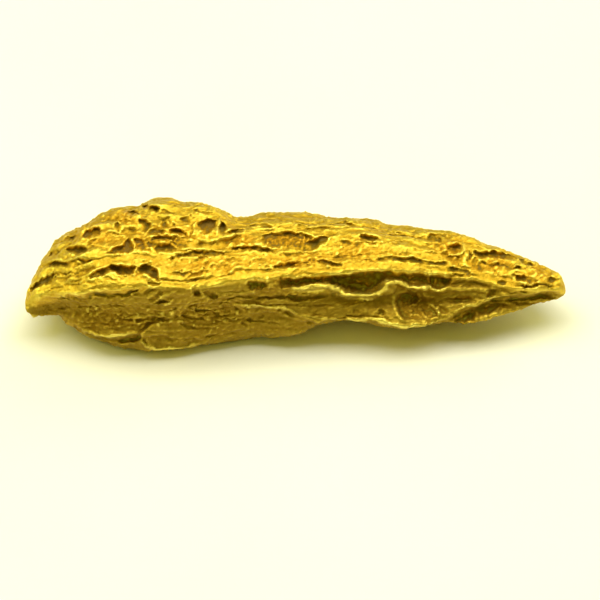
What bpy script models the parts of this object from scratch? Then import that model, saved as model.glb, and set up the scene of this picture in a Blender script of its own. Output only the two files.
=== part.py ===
"""A natural gold nugget: one long, worn wedge of metal that lies on its flattened sole.

The nugget is lofted on eight rails that run from its blunt left end to its pointed right end.
Layers with steep edges are laid over that loft, and furrows and hollows are carved into the skin.
Work is done in millimetres, x from the left tip; the finished solid is set down in metres.
Places on the front are given as (x, v), where v is the height on a sheet that faces the viewer.
"""

import math
import random

import bmesh
import bpy
import numpy as np
from mathutils import Matrix, Vector, noise

MM = 0.001
LENGTH = 27.05
# The sheet leans back: someone looking at it squarely looks down by this angle.
SHEET_TILT = math.radians(50)
SHEET_UP = np.array((0.0, math.sin(SHEET_TILT), math.cos(SHEET_TILT)))
SHEET_OUT = np.array((0.0, -math.cos(SHEET_TILT), math.sin(SHEET_TILT)))

# The loft is fine enough for the outline, and the skin for the narrowest furrow.
RING_COUNT = 300
RING_POINTS = 96
SKIN_CELL = 0.11
FACE_BUDGET = 9900
# Vector noise changes from run to run until it gets a seed. This one gives the kept solid.
WANDER_SEED = 1795859089
# The faces left can't hold the narrowest furrows at their real width, so all are opened a little.
FURROW_SPREAD = 1.2
GOLD_COLOUR = (0.83, 0.56, 0.11, 1.0)

# Rails seen on the sheet: (x, v).
OUTLINE_TOP = (
    (0.0, -0.2), (0.15, 0.35), (0.35, 0.8), (0.65, 1.3), (0.85, 1.8), (1.1, 2.2), (1.45, 2.65), (1.75, 3.05),
    (2.1, 3.3), (2.95, 3.7), (3.6, 4.1), (4.35, 4.45), (5.2, 4.62), (5.72, 4.62), (5.95, 4.8), (6.2, 5.0),
    (6.7, 5.12), (7.4, 5.05), (8.0, 4.87), (8.9, 4.78), (9.5, 4.55), (10.2, 4.22), (10.6, 4.1), (11.0, 4.15),
    (11.6, 4.36), (12.5, 4.4), (13.5, 4.35), (14.5, 4.22), (15.35, 4.05), (16.4, 4.1), (17.5, 3.93),
    (18.25, 3.62), (19.25, 3.55), (20.0, 3.45), (21.25, 3.38), (22.25, 3.1), (23.0, 2.77), (23.75, 2.58),
    (24.6, 2.17), (25.4, 1.82), (26.2, 1.5), (26.75, 1.15), (26.98, 0.75), (27.05, 0.45),
)
CREST = (
    (0.0, -0.2), (0.75, 0.2), (1.25, 0.4), (2.25, 0.5), (4.25, 0.75), (6.25, 0.75), (8.5, 0.65), (9.3, 0.8),
    (11.1, 1.02), (13.25, 1.2), (15.25, 1.35), (17.25, 1.58), (19.25, 1.5), (21.15, 1.25), (22.5, 1.05),
    (24.25, 0.68), (26.25, 0.58), (27.05, 0.45),
)
OUTLINE_FOOT = (
    (0.0, -0.2), (0.12, -0.55), (0.45, -0.78), (1.0, -0.77), (1.85, -0.85), (2.35, -1.25), (3.5, -1.85),
    (4.5, -2.25), (5.5, -2.4), (7.0, -2.45), (8.0, -2.35), (8.75, -2.2), (10.0, -2.0), (11.5, -1.85),
    (13.0, -1.8), (13.75, -1.62), (14.5, -1.3), (15.25, -1.08), (16.75, -1.05), (17.75, -1.2), (19.0, -1.33),
    (20.0, -1.22), (20.9, -1.08), (22.0, -1.08), (22.9, -0.92), (23.6, -0.67), (24.5, -0.48), (25.5, -0.22),
    (26.4, -0.02), (26.85, 0.12), (27.0, 0.28), (27.05, 0.45),
)
# Heights above the table of the same rails: (x, z).
TOP_HEIGHT = ((0.0, 2.5), (0.35, 2.95), (1.0, 3.45), (3.0, 4.45), (5.6, 4.95), (6.2, 5.2), (7.0, 5.45), (8.0, 5.3),
              (9.2, 5.05), (10.4, 4.6), (12.0, 4.45), (15.0, 4.15), (18.0, 3.9), (21.0, 3.6), (24.0, 3.2),
              (26.2, 3.0), (26.85, 2.8), (27.05, 2.45))
CREST_HEIGHT = ((0.0, 2.5), (0.35, 2.8), (1.0, 3.25), (3.0, 4.4), (6.0, 5.0), (9.0, 4.95), (12.0, 4.7), (15.0, 4.5),
                (18.0, 4.3), (21.0, 3.8), (24.0, 3.25), (26.2, 2.9), (26.85, 2.7), (27.05, 2.45))
CHEEK_HEIGHT = ((0.0, 2.5), (1.0, 2.3), (3.0, 2.45), (6.0, 2.6), (9.0, 2.65), (12.0, 2.7), (15.0, 2.85),
                (18.0, 2.75), (21.0, 2.55), (24.0, 2.4), (27.05, 2.45))
FOOT_HEIGHT = ((0.0, 2.5), (0.35, 2.1), (1.0, 1.7), (3.0, 0.95), (6.0, 0.38), (9.0, 0.33), (12.0, 0.58), (15.0, 1.5),
               (18.0, 1.8), (21.0, 1.75), (24.0, 1.9), (26.2, 2.05), (26.85, 2.2), (27.05, 2.45))
# Rails on the hidden sides: the depth y of the back, and the heights of back, heel and sole.
BACK_DEPTH = ((0.0, -2.36), (0.35, -1.1), (1.0, 0.3), (3.0, 1.95), (5.0, 2.8), (7.2, 3.1), (9.0, 2.95), (11.0, 2.75),
              (13.0, 2.95), (16.0, 2.65), (19.0, 2.4), (21.5, 1.95), (24.0, 1.1), (26.2, -0.3), (26.85, -0.95),
              (27.05, -1.47))
BACK_HEIGHT = ((0.0, 2.5), (1.0, 2.5), (3.0, 2.7), (7.0, 2.7), (12.0, 2.5), (18.0, 2.35), (24.0, 2.3), (27.05, 2.45))
HEEL_HEIGHT = ((0.0, 2.5), (1.0, 1.75), (3.0, 1.0), (6.0, 0.7), (12.0, 0.62), (18.0, 0.75), (21.0, 1.0),
               (24.0, 1.5), (26.4, 1.9), (27.05, 2.45))
SOLE_HEIGHT = ((0.0, 2.5), (1.0, 1.5), (3.0, 0.4), (5.0, -0.05), (8.0, -0.14), (12.0, -0.1), (16.0, -0.14),
               (18.5, -0.06), (20.5, 0.35), (24.0, 1.2), (26.4, 1.75), (27.05, 2.45))
BROW_RISE = 0.5
HEEL_TUCK = 0.7
# How much of each end has no marks.
WHOLE_END = 0.5
CHEEK_SHARE = 0.5

# Edges where one layer of metal lies over the next: (height, steep side, gentle side, path of (x, v)).
# The layer on top lies to the left of the path's direction, and falls away gently on that side.
LEDGES = {
    "crest west": (0.16, 0.2, 0.55, ((0.5, -0.1), (1.0, 0.1), (1.75, 0.2), (3.0, 0.28), (4.25, 0.42), (5.25, 0.5),
                                     (6.1, 0.72), (7.2, 0.62), (8.6, 0.55), (9.4, 0.72))),
    "crest east": (0.22, 0.18, 0.6, ((9.0, 0.75), (10.2, 0.88), (11.1, 1.0), (13.25, 1.15), (15.25, 1.28),
                                     (17.2, 1.5), (19.2, 1.42), (21.1, 1.2), (22.5, 1.0), (24.2, 0.62), (26.3, 0.5))),
    "leaf lobe": (0.42, 0.16, 0.95, ((1.75, -0.62), (2.25, -0.95), (2.75, -1.28), (3.25, -1.6), (3.75, -1.8),
                                     (4.25, -1.82), (5.0, -1.78), (5.7, -1.58), (6.0, -1.2), (6.3, -0.85))),
    "belly lobe": (0.42, 0.16, 1.1, ((7.2, -1.0), (6.4, -1.25), (5.92, -1.62), (5.82, -1.95), (6.1, -2.2),
                                     (6.6, -2.36))),
    "leaf under layer": (0.2, 0.14, 0.4, ((3.6, -1.98), (4.4, -2.12), (5.2, -2.2), (5.8, -2.25))),
    "middle lobe": (0.42, 0.16, 0.9, ((10.3, -0.3), (11.0, -0.4), (11.85, -0.48), (12.75, -0.6), (13.35, -0.8),
                                      (14.0, -1.0), (14.9, -1.1), (16.0, -1.0), (17.2, -1.05), (18.2, -1.2))),
    "niche lip": (0.24, 0.14, 0.35, ((12.6, 0.45), (13.5, 0.55), (14.25, 0.72), (15.0, 0.74), (15.4, 0.6),
                                     (15.8, 0.42), (16.35, 0.26), (16.9, 0.2), (17.5, 0.26), (17.95, 0.35))),
    "right lip": (0.18, 0.14, 0.35, ((18.0, 0.85), (18.6, 0.9), (19.2, 0.68), (19.8, 0.6), (20.3, 0.5),
                                     (21.0, 0.55), (22.0, 0.55), (23.0, 0.55))),
    "hem": (0.36, 0.14, 0.8, ((20.4, -0.95), (21.25, -0.8), (21.75, -0.58), (22.25, -0.42), (22.85, -0.18),
                              (23.35, 0.02), (24.5, 0.15), (25.4, 0.25), (26.2, 0.3))),
    "crown rim": (0.2, 0.16, 0.5, ((8.5, 3.3), (8.7, 2.95), (9.3, 2.88), (9.8, 3.05), (10.4, 3.2), (11.2, 3.35))),
    "saddle band": (0.16, 0.16, 0.55, ((7.0, 2.1), (8.25, 2.32), (9.9, 2.42), (11.2, 2.68), (12.4, 2.58))),
    "left shelf": (0.16, 0.16, 0.5, ((1.1, 1.75), (2.6, 2.0), (3.6, 2.15), (4.4, 2.2), (5.6, 2.3), (6.7, 2.3))),
    "summit shelf": (0.16, 0.18, 0.5, ((2.4, 2.75), (3.2, 2.95), (4.1, 3.25), (5.0, 3.55), (5.7, 3.6))),
    "back shelf": (0.14, 0.16, 0.5, ((10.6, 3.55), (12.0, 3.6), (13.6, 3.62), (15.2, 3.65), (17.0, 3.55),
                                     (18.6, 3.3))),
    "knuckle": (0.14, 0.14, 0.4, ((19.6, 2.55), (20.6, 2.45), (21.3, 2.25), (21.9, 2.2))),
}
# Rounded swells: (height, centre x, centre v, half size in x, half size in v).
SWELLS = {
    "crown lump": (0.2, 6.7, 4.85, 0.8, 0.35),
    "crown shoulder": (0.22, 8.9, 4.35, 1.1, 0.4),
    "lip bump": (0.16, 7.8, 0.35, 1.0, 0.3),
    "niche nub": (0.22, 12.35, 0.72, 0.32, 0.2),
    "niche peak": (0.3, 17.95, 0.75, 0.22, 0.4),
    "belly": (0.18, 9.0, -1.55, 2.2, 0.6),
    "middle lobe": (0.16, 16.2, -0.2, 1.9, 0.45),
    "back ridge": (0.14, 13.2, 3.9, 2.4, 0.3),
    "tip cheek": (0.12, 25.6, 0.95, 1.0, 0.25),
}

# Furrows on the sheet: (half width, depth, lip, path of (x, v)). A rim is a furrow with a negative depth.
UPPER_FURROWS = {
    "left end cleft": (0.12, 0.32, 0.03, ((0.4, 0.5), (0.85, 0.75), (1.25, 1.05), (1.5, 1.3))),
    "left long furrow": (0.11, 0.3, 0.04, ((1.0, 1.6), (1.5, 1.75), (2.05, 1.8), (2.65, 1.85))),
    "left furrow tail": (0.09, 0.22, 0.03, ((2.75, 1.95), (3.1, 1.9), (3.55, 2.0))),
    "left slit": (0.1, 0.28, 0.03, ((1.25, 2.2), (1.85, 2.45))),
    "left trough": (0.17, 0.42, 0.05, ((2.1, 2.55), (2.75, 2.5), (3.2, 2.4))),
    "upper left slit": (0.1, 0.25, 0.03, ((2.0, 3.0), (2.75, 3.2))),
    "bean hollow": (0.17, 0.42, 0.05, ((3.0, 3.2), (3.35, 3.3), (3.85, 3.4))),
    "deep furrow west": (0.17, 0.5, 0.06, ((3.4, 1.1), (3.75, 1.25), (4.15, 1.4), (4.45, 1.55), (4.85, 1.5),
                                           (5.25, 1.45), (5.6, 1.6))),
    "deep furrow east": (0.19, 0.5, 0.06, ((5.8, 1.5), (6.25, 1.5), (6.55, 1.3), (6.7, 1.1))),
    "gable tail": (0.09, 0.2, 0.02, ((5.85, 2.5), (6.25, 2.5), (6.6, 2.35))),
    "crown cut": (0.14, 0.35, 0.04, ((6.25, 3.25), (6.6, 3.4), (7.0, 3.35))),
    "crown arch": (0.11, 0.28, 0.04, ((7.15, 3.3), (7.45, 3.45), (7.8, 3.4), (8.1, 3.15))),
    "crown foot": (0.15, 0.35, 0.03, ((6.65, 2.5), (7.1, 2.55), (7.55, 2.45))),
    "crown well": (0.2, 0.45, 0.03, ((5.85, 3.9), (6.1, 3.7), (6.15, 3.4))),
    "summit cut": (0.13, 0.3, 0.03, ((5.1, 4.2), (5.4, 4.3), (5.75, 4.2))),
    "under the lump": (0.12, 0.4, 0.02, ((5.85, 4.72), (6.25, 4.6), (6.7, 4.55))),
    "lump fold": (0.09, 0.2, 0.03, ((6.9, 4.5), (7.25, 4.35), (7.55, 4.3))),
    "shoulder fold": (0.1, 0.18, 0.03, ((7.85, 3.95), (8.15, 4.1), (8.3, 4.25))),
    "shoulder well": (0.19, 0.5, 0.03, ((9.85, 3.75), (9.9, 3.3))),
    "shoulder seam": (0.11, 0.34, 0.03, ((9.95, 3.25), (10.35, 3.35), (11.0, 3.45))),
    "middle seam west": (0.11, 0.26, 0.03, ((7.4, 2.0), (7.75, 2.2), (8.25, 2.25), (8.75, 2.35), (9.25, 2.4),
                                            (9.95, 2.3))),
    "middle seam east": (0.1, 0.26, 0.03, ((10.05, 2.6), (10.75, 2.6), (11.2, 2.55), (11.75, 2.5), (12.35, 2.45),
                                           (12.65, 2.45))),
    "hollow wedge": (0.16, 0.45, 0.04, ((13.9, 2.55), (14.35, 2.75), (14.75, 2.9), (15.1, 3.0))),
    "hollow brow": (0.1, 0.25, 0.04, ((11.9, 3.2), (12.5, 3.28), (13.25, 3.28), (13.9, 3.15), (14.4, 3.0))),
    "twin wells": (0.13, 0.32, 0.04, ((16.8, 3.15), (17.1, 3.1), (17.6, 3.02))),
    "right wells": (0.13, 0.28, 0.04, ((20.15, 3.1), (20.5, 3.05), (20.8, 2.95))),
    "ridge slit": (0.11, 0.28, 0.03, ((15.55, 3.8), (16.0, 3.9), (16.35, 3.8), (16.75, 3.7), (17.65, 3.6))),
    "ridge crease": (0.1, 0.2, 0.03, ((11.2, 3.7), (11.6, 3.85), (12.0, 3.75), (12.35, 3.65))),
    "crest seam west": (0.11, 0.28, 0.03, ((12.4, 1.55), (12.75, 1.65), (13.15, 1.7), (13.75, 1.75), (14.05, 1.85))),
    "crest pits": (0.1, 0.22, 0.03, ((14.65, 1.85), (15.05, 1.9), (15.35, 1.75), (15.75, 1.7))),
    "crest seam east": (0.1, 0.24, 0.03, ((17.0, 1.95), (17.75, 2.0), (18.5, 2.05), (19.4, 2.0), (19.75, 1.9),
                                          (20.35, 1.85), (21.1, 1.8))),
    "knuckle well": (0.16, 0.38, 0.03, ((21.1, 2.55), (21.4, 2.6), (21.75, 2.65))),
    "knuckle crease": (0.09, 0.28, 0.05, ((22.05, 2.75), (22.12, 2.2), (22.15, 1.7))),
    "knuckle foot": (0.09, 0.24, 0.03, ((21.1, 1.55), (21.6, 1.5), (22.15, 1.45))),
    "scoop brow": (0.15, 0.38, 0.03, ((22.45, 2.4), (22.75, 2.25), (23.15, 2.3), (23.6, 2.25), (24.0, 2.15),
                                      (24.5, 2.0))),
    "edge nick": (0.12, 0.32, 0.02, ((24.7, 1.95), (25.05, 1.8), (25.4, 1.65))),
    "tip slot": (0.12, 0.32, 0.04, ((24.35, 1.2), (24.65, 1.1), (25.1, 1.0), (25.5, 0.9))),
    "tip wells": (0.1, 0.2, 0.03, ((26.05, 0.95), (26.3, 1.0), (26.6, 0.95))),
    "crest notch": (0.11, 0.24, 0.02, ((23.6, 0.85), (23.95, 0.85))),
}
FRONT_FURROWS = {
    "left lip seam": (0.12, 0.34, 0.05, ((1.75, 0.1), (2.35, 0.15), (3.0, 0.15), (3.6, 0.3), (4.15, 0.2),
                                         (4.75, 0.22), (5.25, 0.3), (5.8, 0.5))),
    "fold one": (0.09, 0.2, 0.06, ((6.25, 0.0), (6.65, 0.2), (7.05, 0.4))),
    "fold two": (0.08, 0.16, 0.05, ((6.05, 0.25), (6.4, 0.45), (6.75, 0.6))),
    "fold foot": (0.1, 0.18, 0.03, ((6.5, -0.05), (7.25, -0.05))),
    "front well": (0.17, 0.42, 0.03, ((8.55, 0.55), (8.75, 0.25), (8.6, 0.0))),
    "front well tail": (0.13, 0.3, 0.03, ((9.05, 0.35), (9.4, 0.2), (9.65, 0.15))),
    "front seam": (0.11, 0.32, 0.05, ((10.15, 0.05), (10.75, 0.2), (11.25, 0.2), (11.85, 0.15), (12.5, 0.2),
                                      (13.25, 0.15), (13.9, 0.1), (14.5, 0.2), (15.15, 0.3))),
    "drape fold": (0.13, 0.38, 0.07, ((11.0, -0.4), (11.85, -0.45), (12.75, -0.55), (13.35, -0.78), (13.9, -0.95),
                                      (14.4, -1.15))),
    "short fold": (0.1, 0.22, 0.04, ((10.25, -0.2), (10.65, -0.45))),
    "lobe well": (0.18, 0.3, 0.03, ((17.75, -0.35), (17.8, -0.65))),
    "lobe dimple": (0.11, 0.14, 0.02, ((16.4, -0.55), (16.8, -0.6))),
    "ear rim": (0.2, -0.22, 0.0, ((18.4, 0.7), (18.4, 0.3), (18.38, -0.2), (18.45, -0.6), (18.7, -0.95))),
    "oval under": (0.1, 0.2, 0.04, ((19.25, -0.85), (19.65, -0.95), (20.15, -0.9), (20.55, -0.75))),
    "oval over": (0.1, 0.22, 0.05, ((19.6, -0.2), (20.0, 0.05), (20.4, -0.1), (20.75, -0.42))),
    "hem well": (0.14, 0.28, 0.03, ((20.72, -0.35), (21.05, -0.65))),
    "shadow step": (0.14, 0.24, 0.03, ((20.65, -0.12), (21.25, -0.03), (21.85, 0.05), (22.5, -0.02))),
    "beak well": (0.13, 0.28, 0.03, ((23.05, 0.2), (23.4, 0.38), (23.75, 0.3))),
    "beak seam": (0.14, 0.3, 0.05, ((21.25, -0.85), (21.75, -0.62), (22.25, -0.45), (22.85, -0.22), (23.35, -0.02),
                                    (23.85, 0.1), (24.5, 0.08), (25.25, 0.15), (26.0, 0.2), (26.5, 0.12))),
    "leaf crease": (0.1, 0.22, 0.04, ((4.75, -0.95), (5.5, -1.0), (6.25, -0.87), (6.75, -0.92), (7.25, -1.02))),
    "belly crease": (0.1, 0.22, 0.04, ((7.65, -1.05), (8.05, -1.3), (8.75, -1.4), (9.3, -1.4))),
    "leaf parting": (0.14, 0.36, 0.03, ((5.75, -1.6), (5.85, -1.9), (6.1, -2.15), (6.5, -2.4))),
    "leaf hem": (0.14, 0.4, 0.06, ((3.0, -1.65), (3.5, -1.88), (4.0, -1.95), (4.75, -1.9), (5.5, -1.82),
                                   (5.85, -1.75))),
    "belly dimple": (0.16, 0.16, 0.02, ((8.1, -0.6), (8.1, -0.95))),
    "belly cut": (0.1, 0.18, 0.02, ((10.85, -1.05), (11.1, -1.3))),
}
# Hollows and plates on the sheet, as closed outlines: (depth, edge width, outline). A plate has a negative depth.
HOLLOWS = {
    "gable hollow": (0.42, 0.12, ((4.3, 2.28), (4.65, 2.55), (5.0, 2.7), (5.25, 3.05), (5.42, 2.8), (5.5, 2.35),
                                  (5.1, 2.22))),
    "gable side": (0.34, 0.12, ((5.5, 3.0), (5.9, 3.0), (6.15, 2.65), (6.05, 2.45), (5.68, 2.55))),
    "shoulder hollow": (0.45, 0.14, ((8.6, 3.6), (8.9, 3.9), (9.15, 4.05), (9.55, 3.9), (9.6, 3.5), (9.45, 3.1),
                                     (9.1, 2.95), (8.9, 3.25))),
    "long hollow": (0.24, 0.12, ((11.85, 3.2), (12.5, 3.3), (13.25, 3.3), (13.9, 3.2), (14.45, 3.05), (14.3, 2.75),
                                 (13.75, 2.55), (13.15, 2.55), (12.25, 2.65), (11.85, 2.85))),
    "arch dimple": (0.14, 0.1, ((15.0, 3.05), (15.05, 3.35), (15.3, 3.45), (15.55, 3.35), (15.6, 3.1))),
    "scoop": (0.14, 0.12, ((22.3, 2.15), (23.0, 2.2), (23.75, 2.1), (24.35, 1.95), (24.4, 1.6), (23.75, 1.45),
                           (22.75, 1.5), (22.3, 1.6))),
    "small niche": (0.34, 0.1, ((11.2, 0.98), (11.95, 0.98), (11.95, 0.6), (11.3, 0.55))),
    "long niche": (0.42, 0.12, ((12.7, 1.05), (13.75, 1.1), (14.75, 1.12), (15.6, 1.2), (15.5, 0.85), (14.75, 0.9),
                                (14.25, 0.85), (13.75, 0.7), (13.25, 0.6), (12.75, 0.6))),
    "great niche": (0.8, 0.14, ((15.3, 1.12), (16.25, 1.25), (17.0, 1.38), (17.9, 1.4), (17.9, 1.15), (17.65, 0.95),
                                (17.35, 0.65), (16.85, 0.5), (16.35, 0.55), (15.75, 0.72), (15.3, 0.9))),
    "right niche": (0.3, 0.12, ((18.05, 1.35), (18.75, 1.35), (19.5, 1.3), (20.15, 1.18), (20.15, 0.85),
                                (19.65, 0.7), (19.25, 0.8), (18.85, 1.0), (18.35, 0.98))),
    "round niche": (0.48, 0.12, ((20.25, 1.15), (20.75, 1.22), (21.2, 1.12), (21.2, 0.85), (20.9, 0.65),
                                 (20.45, 0.65), (20.2, 0.85))),
    "beak shade": (0.16, 0.12, ((21.3, 0.98), (22.5, 0.95), (23.4, 0.8), (23.3, 0.55), (22.4, 0.6), (21.4, 0.7))),
    "ear hollow": (0.42, 0.14, ((18.55, 0.2), (18.95, 0.45), (19.55, 0.4), (19.9, 0.1), (19.8, -0.2),
                                (19.45, -0.45), (19.2, -0.75), (18.85, -0.9), (18.65, -0.6), (18.55, -0.15))),
    "under the hem": (0.22, 0.14, ((21.4, -0.9), (22.25, -0.58), (23.4, -0.16), (24.4, -0.04), (26.0, 0.02),
                                   (25.3, -0.1), (23.6, -0.45), (22.4, -0.85))),
}


def smooth_step(low, high, value):
    """0 below low, 1 above high, with a soft rise between them."""
    t = np.clip((value - low) / (high - low), 0.0, 1.0)
    return t * t * (3.0 - 2.0 * t)


def rail(knots, x):
    """A smooth curve through the knots of a rail, read at every x."""
    at = np.array([k[0] for k in knots])
    value = np.array([k[1] for k in knots])
    slope = np.gradient(value, at)
    i = np.clip(np.searchsorted(at, x) - 1, 0, len(at) - 2)
    span = at[i + 1] - at[i]
    t = (x - at[i]) / span
    rise = value[i] * (1 + 2 * t) * (1 - t) ** 2 + value[i + 1] * t * t * (3 - 2 * t)
    return rise + span * (slope[i] * t * (1 - t) ** 2 - slope[i + 1] * t * t * (1 - t))


def behind_sheet(v, z):
    """The depth y of a point that is v up the sheet and z above the table."""
    return (v - z * SHEET_UP[2]) / SHEET_UP[1]


def section_points(x):
    """The eight rails at every x, in order round the section, as arrays of (y, z)."""
    top_v, crest_v, foot_v = (rail(r, x) for r in (OUTLINE_TOP, CREST, OUTLINE_FOOT))
    top_z, crest_z, foot_z = (rail(r, x) for r in (TOP_HEIGHT, CREST_HEIGHT, FOOT_HEIGHT))
    top_y = behind_sheet(top_v, top_z)
    crest_y = behind_sheet(crest_v, crest_z)
    foot_y = behind_sheet(foot_v, foot_z)
    girth = smooth_step(0.0, 2.5, x) * smooth_step(0.0, 3.5, LENGTH - x)
    cheek_v = foot_v + CHEEK_SHARE * (crest_v - foot_v)
    cheek_z = rail(CHEEK_HEIGHT, x)
    back_y = rail(BACK_DEPTH, x)
    sole_y = 0.5 * (foot_y + back_y)
    brow = np.stack(((crest_y + top_y) / 2, (crest_z + top_z) / 2 + BROW_RISE * girth), -1)
    return (
        np.stack((crest_y, crest_z), -1),
        brow,
        np.stack((top_y, top_z), -1),
        np.stack((back_y, rail(BACK_HEIGHT, x)), -1),
        np.stack((back_y - HEEL_TUCK * girth, rail(HEEL_HEIGHT, x)), -1),
        np.stack((sole_y, rail(SOLE_HEIGHT, x)), -1),
        np.stack((foot_y, foot_z), -1),
        np.stack((behind_sheet(cheek_v, cheek_z), cheek_z), -1),
    )


def around_section(points, turn):
    """The closed curve through the section's rails, at a turn from 0 to 1 for each point."""
    rails = np.stack(points, 1)
    count = rails.shape[1]
    place = (turn % 1.0) * count
    i = np.floor(place).astype(int)
    t = (place - i)[:, None]
    rows = np.arange(len(turn))
    before, here, after, beyond = (rails[rows, (i + k) % count] for k in (-1, 0, 1, 2))
    return 0.5 * (
        2 * here
        + (after - before) * t
        + (2 * before - 5 * here + 4 * after - beyond) * t**2
        + (3 * here - before - 3 * after + beyond) * t**3
    )


def read_points(mesh):
    flat = np.empty(len(mesh.vertices) * 3, np.float32)
    mesh.vertices.foreach_get("co", flat)
    return flat.reshape(-1, 3).astype(float)


def read_normals(mesh):
    flat = np.empty(len(mesh.vertices) * 3, np.float32)
    mesh.vertices.foreach_get("normal", flat)
    return flat.reshape(-1, 3).astype(float)


def write_points(mesh, points):
    mesh.vertices.foreach_set("co", points.astype(np.float32).ravel())
    mesh.update()


def add_loft(shape):
    """A sphere whose rings are carried onto the rails. Its poles become the two tips."""
    made = bmesh.ops.create_uvsphere(shape, u_segments=RING_POINTS, v_segments=RING_COUNT, radius=1.0)
    verts = made["verts"]
    unit = np.array([v.co for v in verts])
    x = LENGTH * (1 - unit[:, 2]) / 2
    turn = np.arctan2(unit[:, 1], unit[:, 0]) / (2 * math.pi)
    section = around_section(section_points(x), turn)
    for vert, along, (y, z) in zip(verts, x, section):
        vert.co = (along, y, z)


def even_skin(mesh, cell, settling):
    """The mesh as one closed skin of even cells, with its corners settled a little."""
    rough = bpy.data.objects.new("rough_nugget", mesh)
    bpy.context.scene.collection.objects.link(rough)
    remesh = rough.modifiers.new("even skin", "REMESH")
    remesh.mode = "VOXEL"
    remesh.voxel_size = cell
    if settling:
        settle = rough.modifiers.new("settle", "SMOOTH")
        settle.factor = 0.5
        settle.iterations = settling
    graph = bpy.context.evaluated_depsgraph_get()
    skin = bpy.data.meshes.new_from_object(rough.evaluated_get(graph))
    bpy.data.objects.remove(rough)
    return skin


def wander(points, size, reach):
    """A smooth random shift in (x, v) that keeps carved edges from running true."""
    shift = np.empty((len(points), 2))
    for i, p in enumerate(points):
        n = noise.noise_vector(Vector(p) / size)
        shift[i] = n[0], n[1]
    return shift * reach


def along_path(sheet, path):
    """For each point of the sheet, its distance to a path, the share of the path up to there, and the side it is on.

    The side is above 0 to the left of the path's direction.
    """
    path = np.array(path)
    steps = np.linalg.norm(np.diff(path, axis=0), axis=1)
    ends = np.concatenate(([0.0], np.cumsum(steps))) / steps.sum()
    best = np.full(len(sheet), np.inf)
    share = np.zeros(len(sheet))
    side = np.zeros(len(sheet))
    for start, stop, low, high in zip(path[:-1], path[1:], ends[:-1], ends[1:]):
        leg = stop - start
        t = np.clip((sheet - start) @ leg / (leg @ leg), 0.0, 1.0)
        off = sheet - start - t[:, None] * leg
        distance = np.linalg.norm(off, axis=1)
        nearer = distance < best
        best[nearer] = distance[nearer]
        share[nearer] = (low + t * (high - low))[nearer]
        side[nearer] = leg[0] * off[nearer, 1] - leg[1] * off[nearer, 0]
    return best, share, side


def furrow(sheet, half_width, depth, lip, path):
    """How far each point moves out for a furrow that tapers to its ends, with a low lip along both sides."""
    near = np.array(path)
    reach = 4 * half_width
    inside = np.all((sheet > near.min(0) - reach) & (sheet < near.max(0) + reach), axis=1)
    rise = np.zeros(len(sheet))
    distance, share, _ = along_path(sheet[inside], path)
    taper = 0.45 + 0.55 * np.sqrt(np.sin(math.pi * np.clip(share, 0.0, 1.0)))
    across = distance / (half_width * taper)
    cut = (1 - smooth_step(0.35, 1.35, across)) * taper
    rim = np.exp(-(((across - 1.7) / 0.45) ** 2))
    rise[inside] = lip * rim - depth * cut
    return rise


def hollow(sheet, depth, edge, outline):
    """How far each point moves out for a sunken area with a steep edge."""
    rise = np.zeros(len(sheet))
    corners = np.array(outline)
    inside_box = np.all((sheet > corners.min(0) - 3 * edge) & (sheet < corners.max(0) + 3 * edge), axis=1)
    spot = sheet[inside_box]
    distance, _, _ = along_path(spot, list(outline) + [outline[0]])
    within = np.zeros(len(spot), bool)
    for (x0, v0), (x1, v1) in zip(corners, np.roll(corners, -1, axis=0)):
        crosses = (v0 > spot[:, 1]) != (v1 > spot[:, 1])
        with np.errstate(divide="ignore", invalid="ignore"):
            at = x0 + (spot[:, 1] - v0) * (x1 - x0) / (v1 - v0)
        within ^= crosses & (spot[:, 0] < at)
    signed = np.where(within, -distance, distance)
    rise[inside_box] = -depth * (1 - smooth_step(-edge, edge, signed))
    return rise


def ledge(sheet, height, steep, gentle, path):
    """How far each point moves out for a layer whose edge is the path."""
    path = np.array(path)
    inside = np.all((sheet > path.min(0) - 2.5 * gentle) & (sheet < path.max(0) + 2.5 * gentle), axis=1)
    distance, share, side = along_path(sheet[inside], path)
    on_top = np.exp(-((distance / gentle) ** 2))
    beyond = 1 - smooth_step(0.0, steep, distance)
    taper = np.sqrt(np.sin(math.pi * np.clip(share, 0.02, 0.98)))
    rise = np.zeros(len(sheet))
    rise[inside] = height * taper * np.where(side > 0, on_top, beyond)
    return rise


def swell_of(sheet, height, x, v, half_x, half_v):
    return height * np.exp(-(((sheet[:, 0] - x) / half_x) ** 2 + ((sheet[:, 1] - v) / half_v) ** 2))


def front_carving(points):
    """The nugget's own marks on the side that the sheet faces."""
    sheet = np.column_stack((points[:, 0], points @ SHEET_UP)) + wander(points, size=0.55, reach=0.07)
    rise = np.zeros(len(points))
    for height, steep, gentle, path in LEDGES.values():
        rise += ledge(sheet, height, steep, gentle, path)
    for height, x, v, half_x, half_v in SWELLS.values():
        rise += swell_of(sheet, height, x, v, half_x, half_v)
    for half_width, depth, lip, path in [*UPPER_FURROWS.values(), *FRONT_FURROWS.values()]:
        rise += furrow(sheet, FURROW_SPREAD * half_width, depth, lip, path)
    for depth, edge, outline in HOLLOWS.values():
        rise += hollow(sheet, depth, edge, outline)
    return rise


def scattered_furrows(seed, count, low, high):
    """Long furrows that run with the grain, for a side that has no drawing of its own."""
    draw = random.Random(seed)
    found = []
    for _ in range(count):
        x = draw.uniform(1.6, LENGTH - 4.0)
        v = draw.uniform(low, high)
        reach = draw.uniform(0.5, 2.6)
        steps = max(2, round(reach / 0.5))
        path = []
        for step in range(steps + 1):
            path.append((x + reach * step / steps, v))
            v += draw.uniform(-0.16, 0.16)
        half_width = draw.uniform(0.09, 0.18)
        found.append((half_width, 2.2 * half_width, 0.04, path))
    return found


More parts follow.
